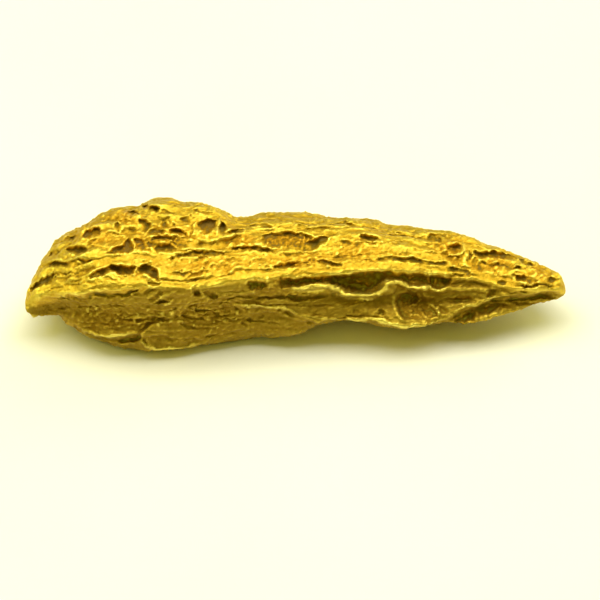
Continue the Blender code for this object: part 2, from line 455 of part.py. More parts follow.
def side_carving(points, across, seed, count, low, high):
    """The same kind of marks on a hidden side, on a sheet of (x, across)."""
    sheet = np.column_stack((points[:, 0], across)) + wander(points, size=0.7, reach=0.14)
    rise = np.zeros(len(points))
    for half_width, depth, lip, path in scattered_furrows(seed, count, low, high):
        rise += furrow(sheet, half_width, depth, lip, path)
    return rise


def grain(points):
    """Long, low ridges and creases that follow the grain of the metal, which runs with the crest."""
    rise = np.empty(len(points))
    lean = rail(CREST, points[:, 0]) / SHEET_UP[1]
    for i, (x, y, z) in enumerate(points):
        y -= lean[i]
        broad = noise.noise(Vector((x / 3.4, y / 1.2, z / 1.2)))
        middle = noise.noise(Vector((x / 1.9 + 9.0, y / 0.6, z / 0.6)))
        fine = noise.noise(Vector((x / 0.8 + 4.0, y / 0.42, z / 0.42)))
        rise[i] = 0.16 * broad + 0.15 * (0.4 - abs(middle)) + 0.06 * fine
    return rise


def carve(skin):
    points = read_points(skin)
    normals = read_normals(skin)
    to_front = smooth_step(0.0, 0.4, normals @ SHEET_OUT)
    to_back = smooth_step(0.25, 0.7, normals[:, 1]) * (1 - to_front)
    to_sole = smooth_step(0.35, 0.8, -normals[:, 2]) * (1 - to_front)
    rise = grain(points)
    rise += to_back * side_carving(points, points[:, 2], seed=4, count=34, low=0.6, high=4.4)
    rise += to_sole * side_carving(points, points[:, 1], seed=11, count=24, low=-2.6, high=2.6)
    # The front marks are carved straight into the sheet, so that none of them moves on it.
    marks = to_front * front_carving(points)
    # The two ends stay whole and round.
    inward = smooth_step(-0.1, WHOLE_END, points[:, 0]) * smooth_step(-0.1, WHOLE_END, LENGTH - points[:, 0])
    write_points(skin, points + (inward * rise)[:, None] * normals + (inward * marks)[:, None] * SHEET_OUT)


def block(name, low, high):
    """A plain box between two corners, used as a cutter."""
    shape = bmesh.new()
    size = Matrix.Diagonal((*(high - low), 1.0))
    bmesh.ops.create_cube(shape, size=1.0, matrix=Matrix.Translation((low + high) / 2) @ size)
    mesh = bpy.data.meshes.new(name)
    shape.to_mesh(mesh)
    shape.free()
    made = bpy.data.objects.new(name, mesh)
    bpy.context.scene.collection.objects.link(made)
    made.hide_render = True
    made.display_type = "WIRE"
    return made


def gold():
    material = bpy.data.materials.new("native gold")
    material.use_nodes = True
    shader = material.node_tree.nodes["Principled BSDF"]
    shader.inputs["Base Color"].default_value = GOLD_COLOUR
    shader.inputs["Metallic"].default_value = 1.0
    shader.inputs["Roughness"].default_value = 0.38
    return material


def clear_scene():
    for old in list(bpy.data.objects):
        bpy.data.objects.remove(old)


def make_nugget():
    shape = bmesh.new()
    add_loft(shape)
    loft = bpy.data.meshes.new("loft")
    shape.to_mesh(loft)
    shape.free()
    skin = even_skin(loft, SKIN_CELL, settling=3)
    carve(skin)
    skin = even_skin(skin, SKIN_CELL, settling=0)

    # The origin is under the middle of the nugget, on the plane of its sole.
    points = read_points(skin)
    low, high = points.min(0), points.max(0)
    middle = np.array(((low[0] + high[0]) / 2, (low[1] + high[1]) / 2, 0.0))
    write_points(skin, (points - middle) * MM)

    nugget = bpy.data.objects.new("nugget", skin)
    bpy.context.scene.collection.objects.link(nugget)
    skin.materials.append(gold())
    lighten = nugget.modifiers.new("fewer faces", "DECIMATE")
    skin.calc_loop_triangles()
    lighten.ratio = FACE_BUDGET / len(skin.loop_triangles)
    lighten.use_collapse_triangulate = True
    reach = LENGTH * MM
    table = block("table_plane", Vector((-reach, -reach, -reach)), Vector((reach, reach, 0.0)))
    flatten = nugget.modifiers.new("flat sole", "BOOLEAN")
    flatten.operation = "DIFFERENCE"
    flatten.object = table
    return nugget


clear_scene()
noise.seed_set(WANDER_SEED)
make_nugget()
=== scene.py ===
"""The looks of a natural gold nugget that lies on a pale table.

The nugget is lofted on the rails of its solid, at a finer scale, and gets the marks that the solid has
no room for: narrow furrows, pits, crumbly patches and worn ridges. Its metal takes its colour from how deep,
how crumbly and how dull it is, with painted shade in its creases, on its hollow floors and on the cheek under
its crest, darker steep hidden sides, and a painted highlight on its rims. That is kept on the mesh as three
attributes.
Sizes are in millimetres until the finished mesh is set down on the frame in metres.
Places on the front are given as (x, v), where v is the height on a sheet that faces the viewer.
"""

import math
import random

import bmesh
import bpy
import numpy as np
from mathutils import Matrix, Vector, noise


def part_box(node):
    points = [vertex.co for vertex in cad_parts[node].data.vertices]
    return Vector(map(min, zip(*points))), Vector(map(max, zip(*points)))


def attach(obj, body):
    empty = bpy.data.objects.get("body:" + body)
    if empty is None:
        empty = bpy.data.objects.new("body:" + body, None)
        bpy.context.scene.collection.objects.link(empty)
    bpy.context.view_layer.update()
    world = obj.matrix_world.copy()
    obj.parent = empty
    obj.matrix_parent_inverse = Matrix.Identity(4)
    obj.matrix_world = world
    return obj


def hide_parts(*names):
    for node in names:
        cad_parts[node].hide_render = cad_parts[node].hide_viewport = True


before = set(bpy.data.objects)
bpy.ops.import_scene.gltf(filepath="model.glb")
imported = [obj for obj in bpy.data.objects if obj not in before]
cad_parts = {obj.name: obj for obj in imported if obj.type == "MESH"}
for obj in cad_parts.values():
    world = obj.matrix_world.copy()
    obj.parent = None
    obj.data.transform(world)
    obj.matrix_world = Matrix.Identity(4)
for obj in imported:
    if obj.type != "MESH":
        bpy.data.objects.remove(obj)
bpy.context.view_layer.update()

MM = 0.001
LENGTH = 27.05
# The sheet leans back: someone looking at it squarely looks down by this angle.
SHEET_TILT = math.radians(50)
SHEET_UP = np.array((0.0, math.sin(SHEET_TILT), math.cos(SHEET_TILT)))
SHEET_OUT = np.array((0.0, -math.cos(SHEET_TILT), math.sin(SHEET_TILT)))
# The photograph's middle, on the sheet, and the width that it takes in.
PHOTO_MIDDLE = (13.75, 0.0)
PHOTO_WIDTH = 30.0
# The middle of the nugget is about this far in front of the sheet through the origin.
MIDDLE_OUT = 2.5

# The loft is fine enough for the outline, and the skin for the hair-thin marks.
RING_COUNT = 300
RING_POINTS = 96
SKIN_CELL = 0.078
# Vector noise differs from run to run until it gets a seed.
WANDER_SEED = 5

# Rails seen on the sheet: (x, v).
OUTLINE_TOP = (
    (0.0, -0.2), (0.15, 0.35), (0.35, 0.8), (0.65, 1.3), (0.85, 1.8), (1.1, 2.2), (1.45, 2.65),
    (1.75, 3.05), (2.1, 3.3), (2.95, 3.7), (3.6, 4.1), (4.35, 4.45), (5.2, 4.62), (5.72, 4.62), (5.95, 4.8),
    (6.2, 5.0), (6.7, 5.12), (7.4, 5.05), (8.0, 4.87), (8.9, 4.78), (9.5, 4.55), (10.2, 4.22), (10.6, 4.1),
    (11.0, 4.15), (11.6, 4.36), (12.5, 4.4), (13.5, 4.35), (14.5, 4.22), (15.35, 4.05), (16.4, 4.1),
    (17.5, 3.93), (18.25, 3.62), (19.25, 3.55), (20.0, 3.45), (21.25, 3.38), (22.25, 3.1), (23.0, 2.77),
    (23.75, 2.58), (24.6, 2.17), (25.4, 1.82), (26.2, 1.5), (26.75, 1.15), (26.98, 0.75), (27.05, 0.45),
)
CREST = (
    (0.0, -0.2), (0.75, 0.2), (1.25, 0.4), (2.25, 0.5), (4.25, 0.75), (6.25, 0.75), (8.5, 0.65), (9.3, 0.8),
    (11.1, 1.02), (13.25, 1.2), (15.25, 1.35), (17.25, 1.58), (19.25, 1.5), (21.15, 1.25), (22.5, 1.05),
    (24.25, 0.68), (26.25, 0.58), (27.05, 0.45),
)
OUTLINE_FOOT = (
    (0.0, -0.2), (0.12, -0.55), (0.45, -0.78), (1.0, -0.77), (1.85, -0.85), (2.35, -1.25), (3.5, -1.85),
    (4.5, -2.25), (5.5, -2.4), (7.0, -2.45), (8.0, -2.35), (8.75, -2.2), (10.0, -2.0), (11.5, -1.85),
    (13.0, -1.8), (13.75, -1.62), (14.5, -1.3), (15.25, -1.08), (16.75, -1.05), (17.75, -1.2),
    (19.0, -1.33), (20.0, -1.22), (20.9, -1.08), (22.0, -1.08), (22.9, -0.92), (23.6, -0.67), (24.5, -0.48),
    (25.5, -0.22), (26.4, -0.02), (26.85, 0.12), (27.0, 0.28), (27.05, 0.45),
)
# Heights above the table of the same rails: (x, z).
TOP_HEIGHT = (
    (0.0, 2.5), (0.35, 2.95), (1.0, 3.45), (3.0, 4.45), (5.6, 4.95), (6.2, 5.2), (7.0, 5.45), (8.0, 5.3),
    (9.2, 5.05), (10.4, 4.6), (12.0, 4.45), (15.0, 4.15), (18.0, 3.9), (21.0, 3.6), (24.0, 3.2),
    (26.2, 3.0), (26.85, 2.8), (27.05, 2.45),
)
CREST_HEIGHT = (
    (0.0, 2.5), (0.35, 2.8), (1.0, 3.25), (3.0, 4.4), (6.0, 5.0), (9.0, 4.95), (12.0, 4.7), (15.0, 4.5),
    (18.0, 4.3), (21.0, 3.8), (24.0, 3.25), (26.2, 2.9), (26.85, 2.7), (27.05, 2.45),
)
CHEEK_HEIGHT = (
    (0.0, 2.5), (1.0, 2.3), (3.0, 2.45), (6.0, 2.6), (9.0, 2.65), (12.0, 2.7), (15.0, 2.85), (18.0, 2.75),
    (21.0, 2.55), (24.0, 2.4), (27.05, 2.45),
)
FOOT_HEIGHT = (
    (0.0, 2.5), (0.35, 2.1), (1.0, 1.7), (3.0, 0.95), (6.0, 0.38), (9.0, 0.33), (12.0, 0.58), (15.0, 1.5),
    (18.0, 1.8), (21.0, 1.75), (24.0, 1.9), (26.2, 2.05), (26.85, 2.2), (27.05, 2.45),
)
# Rails on the hidden sides: the depth y of the back, and the heights of back, heel and sole.
BACK_DEPTH = (
    (0.0, -2.36), (0.35, -1.1), (1.0, 0.3), (3.0, 1.95), (5.0, 2.8), (7.2, 3.1), (9.0, 2.95), (11.0, 2.75),
    (13.0, 2.95), (16.0, 2.65), (19.0, 2.4), (21.5, 1.95), (24.0, 1.1), (26.2, -0.3), (26.85, -0.95),
    (27.05, -1.47),
)
BACK_HEIGHT = (
    (0.0, 2.5), (1.0, 2.5), (3.0, 2.7), (7.0, 2.7), (12.0, 2.5), (18.0, 2.35), (24.0, 2.3), (27.05, 2.45),
)
HEEL_HEIGHT = (
    (0.0, 2.5), (1.0, 1.75), (3.0, 1.0), (6.0, 0.7), (12.0, 0.62), (18.0, 0.75), (21.0, 1.0), (24.0, 1.5),
    (26.4, 1.9), (27.05, 2.45),
)
SOLE_HEIGHT = (
    (0.0, 2.5), (1.0, 1.5), (3.0, 0.4), (5.0, -0.05), (8.0, -0.14), (12.0, -0.1), (16.0, -0.14),
    (18.5, -0.06), (20.5, 0.35), (24.0, 1.2), (26.4, 1.75), (27.05, 2.45),
)
BROW_RISE = 0.5
HEEL_TUCK = 0.7
# How much of each end has no marks.
WHOLE_END = 0.5
# How far up from the lower outline to the crest the cheek's rail runs.
CHEEK_SHARE = 0.5
# The skin keeps this share of the depths in the tables below.
UPPER_SHARE, FRONT_SHARE, FINE_SHARE, PIT_SHARE, HOLLOW_SHARE = 0.85, 0.7, 0.8, 0.8, 0.85
# Heights of the skin's own relief.
RIDGE_HEIGHT = 0.05
PITTING, CRUMBLY_PITTING, TURNED_PITTING = 0.04, 0.05, 0.06
CRUMB_HEIGHT, CHEEK_CRUMB_HEIGHT = 0.11, 0.06
LAYER_HEIGHT = 0.22
# How far above the foot of the lip its worn band has its middle, and the band's half width.
BAND_RISE, BAND_WIDTH = 0.2, 0.22

# Edges where one layer of metal lies over the next: (height, steep side, gentle side, path of (x, v)).
# The layer on top lies to the left of the path's direction, and falls away gently on that side.
LEDGES = {
    "crest west": (0.16, 0.2, 0.55, (
        (0.5, -0.1), (1.0, 0.1), (1.75, 0.2), (3.0, 0.28), (4.25, 0.42), (5.25, 0.5), (6.1, 0.72),
        (7.2, 0.62), (8.6, 0.55), (9.4, 0.72))),
    "crest east": (0.22, 0.18, 0.6, (
        (9.0, 0.75), (10.2, 0.88), (11.1, 1.0), (13.25, 1.15), (15.25, 1.28), (17.2, 1.5), (19.2, 1.42),
        (21.1, 1.2), (22.5, 1.0), (24.2, 0.62), (26.3, 0.5))),
    "leaf lobe": (0.42, 0.16, 0.95, (
        (1.75, -0.62), (2.25, -0.95), (2.75, -1.28), (3.25, -1.6), (3.75, -1.8), (4.25, -1.82),
        (5.0, -1.78), (5.7, -1.58), (6.0, -1.2), (6.3, -0.85))),
    "belly lobe": (0.42, 0.16, 1.1, (
        (7.2, -1.0), (6.4, -1.25), (5.92, -1.62), (5.82, -1.95), (6.1, -2.2), (6.6, -2.36))),
    "leaf under layer": (0.2, 0.14, 0.4, ((3.6, -1.98), (4.4, -2.12), (5.2, -2.2), (5.8, -2.25))),
    "middle lobe": (0.42, 0.16, 0.9, (
        (10.3, -0.3), (11.0, -0.4), (11.85, -0.48), (12.75, -0.6), (13.35, -0.8), (14.0, -1.0),
        (14.9, -1.1), (16.0, -1.0), (17.2, -1.05), (18.2, -1.2))),
    "niche lip": (0.38, 0.14, 0.3, (
        (12.6, 0.45), (13.5, 0.55), (14.25, 0.72), (15.0, 0.74), (15.4, 0.6), (15.8, 0.42), (16.35, 0.26),
        (16.9, 0.2), (17.5, 0.26), (17.95, 0.35))),
    "right lip": (0.28, 0.14, 0.3, (
        (18.0, 0.85), (18.6, 0.9), (19.2, 0.68), (19.8, 0.6), (20.3, 0.5), (21.0, 0.55), (22.0, 0.55),
        (23.0, 0.55))),
    "hem": (0.36, 0.14, 0.8, (
        (20.4, -0.95), (21.25, -0.8), (21.75, -0.58), (22.25, -0.42), (22.85, -0.18), (23.35, 0.02),
        (24.5, 0.15), (25.4, 0.25), (26.2, 0.3))),
    "crown rim": (0.2, 0.16, 0.5, (
        (8.5, 3.3), (8.7, 2.95), (9.3, 2.88), (9.8, 3.05), (10.4, 3.2), (11.2, 3.35))),
    "saddle band": (0.16, 0.16, 0.55, ((7.0, 2.1), (8.25, 2.32), (9.9, 2.42), (11.2, 2.68), (12.4, 2.58))),
    "left shelf": (0.16, 0.16, 0.5, (
        (1.1, 1.75), (2.6, 2.0), (3.6, 2.15), (4.4, 2.2), (5.6, 2.3), (6.7, 2.3))),
    "summit shelf": (0.16, 0.18, 0.5, ((2.4, 2.75), (3.2, 2.95), (4.1, 3.25), (5.0, 3.55), (5.7, 3.6))),
    "back shelf": (0.14, 0.16, 0.5, (
        (10.6, 3.55), (12.0, 3.6), (13.6, 3.62), (15.2, 3.65), (17.0, 3.55), (18.6, 3.3))),
    "knuckle": (0.14, 0.14, 0.4, ((19.6, 2.55), (20.6, 2.45), (21.3, 2.25), (21.9, 2.2))),
}
# Rounded swells: (height, centre x, centre v, half size in x, half size in v).
SWELLS = {
    "crown lump": (0.2, 6.7, 4.85, 0.8, 0.35),
    "crown shoulder": (0.22, 8.9, 4.35, 1.1, 0.4),
    "lip bump": (0.16, 7.8, 0.35, 1.0, 0.3),
    "niche nub": (0.22, 12.35, 0.72, 0.32, 0.2),
    "niche peak": (0.3, 17.95, 0.75, 0.22, 0.4),
    "belly": (0.18, 9.0, -1.55, 2.2, 0.6),
    "middle lobe": (0.16, 16.2, -0.2, 1.9, 0.45),
    "back ridge": (0.14, 13.2, 3.9, 2.4, 0.3),
    "tip cheek": (0.12, 25.6, 0.95, 1.0, 0.25),
}

# Furrows on the sheet: (half width, depth, lip, path of (x, v)).
UPPER_FURROWS = {
    "left end cleft": (0.12, 0.32, 0.03, ((0.4, 0.5), (0.85, 0.75), (1.25, 1.05), (1.5, 1.3))),
    "left long furrow": (0.11, 0.3, 0.04, ((1.0, 1.6), (1.5, 1.75), (2.05, 1.8), (2.65, 1.85))),
    "left furrow tail": (0.09, 0.22, 0.03, ((2.75, 1.95), (3.1, 1.9), (3.55, 2.0))),
    "left slit": (0.1, 0.28, 0.03, ((1.25, 2.2), (1.85, 2.45))),
    "left trough": (0.17, 0.42, 0.05, ((2.1, 2.55), (2.75, 2.5), (3.2, 2.4))),
    "upper left slit": (0.1, 0.25, 0.03, ((2.0, 3.0), (2.75, 3.2))),
    "bean hollow": (0.17, 0.42, 0.05, ((3.0, 3.2), (3.35, 3.3), (3.85, 3.4))),
    "deep furrow west": (0.17, 0.5, 0.06, (
        (3.4, 1.1), (3.75, 1.25), (4.15, 1.4), (4.45, 1.55), (4.85, 1.5), (5.25, 1.45), (5.6, 1.6))),
    "deep furrow east": (0.19, 0.5, 0.06, ((5.8, 1.5), (6.25, 1.5), (6.55, 1.3), (6.7, 1.1))),
    "gable tail": (0.09, 0.2, 0.02, ((5.85, 2.5), (6.25, 2.5), (6.6, 2.35))),
    "crown cut": (0.14, 0.35, 0.04, ((6.25, 3.25), (6.6, 3.4), (7.0, 3.35))),
    "crown arch": (0.11, 0.28, 0.04, ((7.15, 3.3), (7.45, 3.45), (7.8, 3.4), (8.1, 3.15))),
    "crown foot": (0.15, 0.35, 0.03, ((6.65, 2.5), (7.1, 2.55), (7.55, 2.45))),
    "crown well": (0.2, 0.45, 0.03, ((5.85, 3.9), (6.1, 3.7), (6.15, 3.4))),
    "summit cut": (0.13, 0.3, 0.03, ((5.1, 4.2), (5.4, 4.3), (5.75, 4.2))),
    "under the lump": (0.12, 0.4, 0.02, ((5.85, 4.72), (6.25, 4.6), (6.7, 4.55))),
    "lump fold": (0.09, 0.2, 0.03, ((6.9, 4.5), (7.25, 4.35), (7.55, 4.3))),
    "shoulder fold": (0.1, 0.18, 0.03, ((7.85, 3.95), (8.15, 4.1), (8.3, 4.25))),
    "shoulder well": (0.19, 0.5, 0.03, ((9.85, 3.75), (9.9, 3.3))),
    "shoulder seam": (0.11, 0.34, 0.03, ((9.95, 3.25), (10.35, 3.35), (11.0, 3.45))),
    "middle seam west": (0.11, 0.26, 0.03, (
        (7.4, 2.0), (7.75, 2.2), (8.25, 2.25), (8.75, 2.35), (9.25, 2.4), (9.95, 2.3))),
    "middle seam east": (0.1, 0.26, 0.03, (
        (10.05, 2.6), (10.75, 2.6), (11.2, 2.55), (11.75, 2.5), (12.35, 2.45), (12.65, 2.45))),
    "hollow wedge": (0.16, 0.45, 0.04, ((13.9, 2.55), (14.35, 2.75), (14.75, 2.9), (15.1, 3.0))),
    "hollow brow": (0.1, 0.25, 0.04, ((11.9, 3.2), (12.5, 3.28), (13.25, 3.28), (13.9, 3.15), (14.4, 3.0))),
    "twin wells": (0.13, 0.32, 0.04, ((16.8, 3.15), (17.1, 3.1), (17.6, 3.02))),
    "right wells": (0.13, 0.28, 0.04, ((20.15, 3.1), (20.5, 3.05), (20.8, 2.95))),
    "ridge slit": (0.11, 0.28, 0.03, ((15.55, 3.8), (16.0, 3.9), (16.35, 3.8), (16.75, 3.7), (17.65, 3.6))),
    "ridge crease": (0.1, 0.2, 0.03, ((11.2, 3.7), (11.6, 3.85), (12.0, 3.75), (12.35, 3.65))),
    "crest seam west": (0.11, 0.28, 0.03, (
        (12.4, 1.55), (12.75, 1.65), (13.15, 1.7), (13.75, 1.75), (14.05, 1.85))),
    "crest pits": (0.1, 0.22, 0.03, ((14.65, 1.85), (15.05, 1.9), (15.35, 1.75), (15.75, 1.7))),
    "crest seam east": (0.1, 0.24, 0.03, (
        (17.0, 1.95), (17.75, 2.0), (18.5, 2.05), (19.4, 2.0), (19.75, 1.9), (20.35, 1.85), (21.1, 1.8))),
    "knuckle well": (0.16, 0.38, 0.03, ((21.1, 2.55), (21.4, 2.6), (21.75, 2.65))),
    "knuckle crease": (0.08, 0.16, 0.02, ((22.2, 2.5), (22.25, 2.2), (22.2, 1.95))),
    "knuckle foot": (0.08, 0.16, 0.03, ((21.1, 1.55), (21.6, 1.5), (22.15, 1.45))),
    "scoop brow": (0.15, 0.38, 0.03, (
        (22.45, 2.4), (22.75, 2.25), (23.15, 2.3), (23.6, 2.25), (24.0, 2.15), (24.5, 2.0))),
    "edge nick": (0.12, 0.32, 0.02, ((24.7, 1.95), (25.05, 1.8), (25.4, 1.65))),
    "tip slot": (0.12, 0.32, 0.04, ((24.35, 1.2), (24.65, 1.1), (25.1, 1.0), (25.5, 0.9))),
    "tip wells": (0.1, 0.2, 0.03, ((26.05, 0.95), (26.3, 1.0), (26.6, 0.95))),
    "crest notch": (0.11, 0.24, 0.02, ((23.6, 0.85), (23.95, 0.85))),
}
FRONT_FURROWS = {
    "left lip seam": (0.09, 0.26, 0.05, (
        (1.75, 0.1), (2.35, 0.15), (3.0, 0.15), (3.6, 0.3), (4.15, 0.2), (4.75, 0.22), (5.25, 0.3),
        (5.8, 0.5))),
    "fold one": (0.09, 0.2, 0.06, ((6.25, 0.0), (6.65, 0.2), (7.05, 0.4))),
    "fold two": (0.08, 0.16, 0.05, ((6.05, 0.25), (6.4, 0.45), (6.75, 0.6))),
    "fold foot": (0.1, 0.18, 0.03, ((6.5, -0.05), (7.25, -0.05))),
    "front well": (0.22, 0.26, 0.03, ((8.5, 0.5), (8.75, 0.3), (8.85, 0.1))),
    "front well tail": (0.13, 0.3, 0.03, ((9.05, 0.35), (9.4, 0.2), (9.65, 0.15))),
    "front seam": (0.1, 0.22, 0.05, (
        (10.15, 0.05), (10.75, 0.2), (11.25, 0.2), (11.85, 0.15), (12.5, 0.2), (13.25, 0.15), (13.9, 0.1),
        (14.5, 0.2), (15.15, 0.3))),
    "drape fold": (0.12, 0.26, 0.07, (
        (11.0, -0.4), (11.85, -0.45), (12.75, -0.55), (13.35, -0.78), (13.9, -0.95), (14.4, -1.15))),
    "short fold": (0.1, 0.22, 0.04, ((10.25, -0.2), (10.65, -0.45))),
    "lobe well": (0.15, 0.2, 0.02, ((17.7, -0.5), (17.82, -0.62), (17.7, -0.72))),
    "lobe dimple": (0.11, 0.14, 0.02, ((16.4, -0.55), (16.8, -0.6))),
    "oval under": (0.1, 0.1, 0.04, ((19.25, -0.85), (19.65, -0.95), (20.15, -0.9), (20.55, -0.75))),
    "oval over": (0.1, 0.1, 0.05, ((19.6, -0.2), (20.0, 0.05), (20.4, -0.1), (20.75, -0.42))),
    "hem well": (0.14, 0.28, 0.03, ((20.72, -0.35), (21.05, -0.65))),
    "shadow step": (0.14, 0.24, 0.03, ((20.65, -0.12), (21.25, -0.03), (21.85, 0.05), (22.5, -0.02))),
    "under hem": (0.24, 0.34, 0.0, (
        (21.3, -0.98), (21.9, -0.82), (22.5, -0.66), (23.1, -0.46), (23.6, -0.26))),
    "beak well": (0.13, 0.28, 0.03, ((23.05, 0.2), (23.4, 0.38), (23.75, 0.3))),
    "beak seam": (0.14, 0.3, 0.05, (
        (21.25, -0.85), (21.75, -0.62), (22.25, -0.45), (22.85, -0.22), (23.35, -0.02), (23.85, 0.1),
        (24.5, 0.08), (25.25, 0.15), (26.0, 0.2), (26.5, 0.12))),
    "leaf crease": (0.08, 0.15, 0.05, (
        (4.75, -0.95), (5.5, -1.0), (6.25, -0.87), (6.75, -0.92), (7.25, -1.02))),
    "belly crease": (0.08, 0.13, 0.04, ((7.65, -1.05), (8.05, -1.3), (8.75, -1.4), (9.3, -1.4))),
    "leaf parting": (0.1, 0.24, 0.03, ((5.75, -1.6), (5.85, -1.9), (6.1, -2.15), (6.5, -2.4))),
    "leaf hem": (0.16, 0.38, 0.0, (
        (2.9, -1.64), (3.5, -1.96), (4.1, -2.1), (4.75, -2.1), (5.4, -1.98), (5.85, -1.78))),
    "belly dimple": (0.16, 0.16, 0.02, ((8.1, -0.6), (8.1, -0.95))),
    "belly cut": (0.1, 0.18, 0.02, ((10.85, -1.05), (11.1, -1.3))),
}
# Hollows on the sheet, as closed outlines: (depth, edge width, outline).
HOLLOWS = {
    "gable hollow": (0.44, 0.18, (
        (4.3, 2.28), (4.65, 2.55), (5.0, 2.7), (5.25, 3.05), (5.42, 2.8), (5.5, 2.35), (5.1, 2.22))),
    "gable side": (0.36, 0.18, ((5.5, 3.0), (5.9, 3.0), (6.15, 2.65), (6.05, 2.45), (5.68, 2.55))),
    "crown basin": (0.2, 0.14, (
        (6.25, 2.62), (6.15, 2.95), (6.6, 3.2), (7.3, 3.15), (8.0, 3.0), (8.25, 2.75), (7.7, 2.5),
        (6.9, 2.48))),
    "shoulder hollow": (0.5, 0.13, (
        (8.65, 3.6), (8.85, 3.9), (9.15, 4.02), (9.55, 3.88), (9.5, 3.6), (9.3, 3.35), (9.1, 3.2),
        (8.85, 3.35))),
    "long hollow": (0.24, 0.12, (
        (11.85, 3.2), (12.5, 3.3), (13.25, 3.3), (13.9, 3.2), (14.45, 3.05), (14.3, 2.75), (13.75, 2.55),
        (13.15, 2.55), (12.25, 2.65), (11.85, 2.85))),
    "arch dimple": (0.14, 0.1, ((15.0, 3.05), (15.05, 3.35), (15.3, 3.45), (15.55, 3.35), (15.6, 3.1))),
    "scoop": (0.14, 0.12, (
        (22.3, 2.15), (23.0, 2.2), (23.75, 2.1), (24.35, 1.95), (24.4, 1.6), (23.75, 1.45), (22.75, 1.5),
        (22.3, 1.6))),
    "small niche": (0.44, 0.1, (
        (11.1, 0.9), (11.5, 1.0), (11.95, 0.95), (12.1, 0.75), (11.7, 0.55), (11.2, 0.62))),
    "long niche": (0.42, 0.15, (
        (12.7, 1.05), (13.75, 1.1), (14.75, 1.12), (15.6, 1.2), (15.5, 0.85), (14.75, 0.9), (14.25, 0.85),
        (13.75, 0.7), (13.25, 0.6), (12.75, 0.6))),
    "great niche": (0.7, 0.14, (
        (15.3, 1.12), (16.25, 1.25), (17.0, 1.38), (17.9, 1.4), (17.9, 1.15), (17.65, 0.95), (17.35, 0.65),
        (16.85, 0.5), (16.35, 0.55), (15.75, 0.72), (15.3, 0.9))),
    "right niche": (0.3, 0.12, (
        (17.84, 1.42), (18.75, 1.38), (19.5, 1.32), (20.32, 1.2), (20.32, 0.85), (19.65, 0.72),
        (19.25, 0.8), (18.85, 0.98), (17.84, 1.02))),
    "round niche": (0.42, 0.14, (
        (20.16, 1.15), (20.75, 1.22), (21.2, 1.12), (21.2, 0.85), (20.9, 0.68), (20.45, 0.68),
        (20.16, 0.85))),
    "beak shade": (0.16, 0.12, (
        (21.1, 0.98), (22.5, 0.95), (23.4, 0.8), (23.3, 0.55), (22.4, 0.6), (21.1, 0.72))),
    "ear hollow": (0.3, 0.16, (
        (18.55, 0.2), (18.95, 0.45), (19.55, 0.4), (20.0, 0.1), (20.4, -0.2), (20.6, -0.5), (20.3, -0.8),
        (19.6, -0.92), (18.85, -0.9), (18.65, -0.6), (18.55, -0.15))),
    "ear well": (0.26, 0.2, ((18.75, 0.3), (19.3, 0.38), (19.65, 0.1), (19.4, -0.2), (18.85, -0.1))),
    "under the hem": (0.22, 0.14, (
        (21.4, -0.95), (22.25, -0.6), (23.4, -0.18), (24.4, -0.06), (26.0, 0.0), (25.3, -0.15),
        (23.6, -0.62), (22.4, -1.05), (21.5, -1.15))),
}
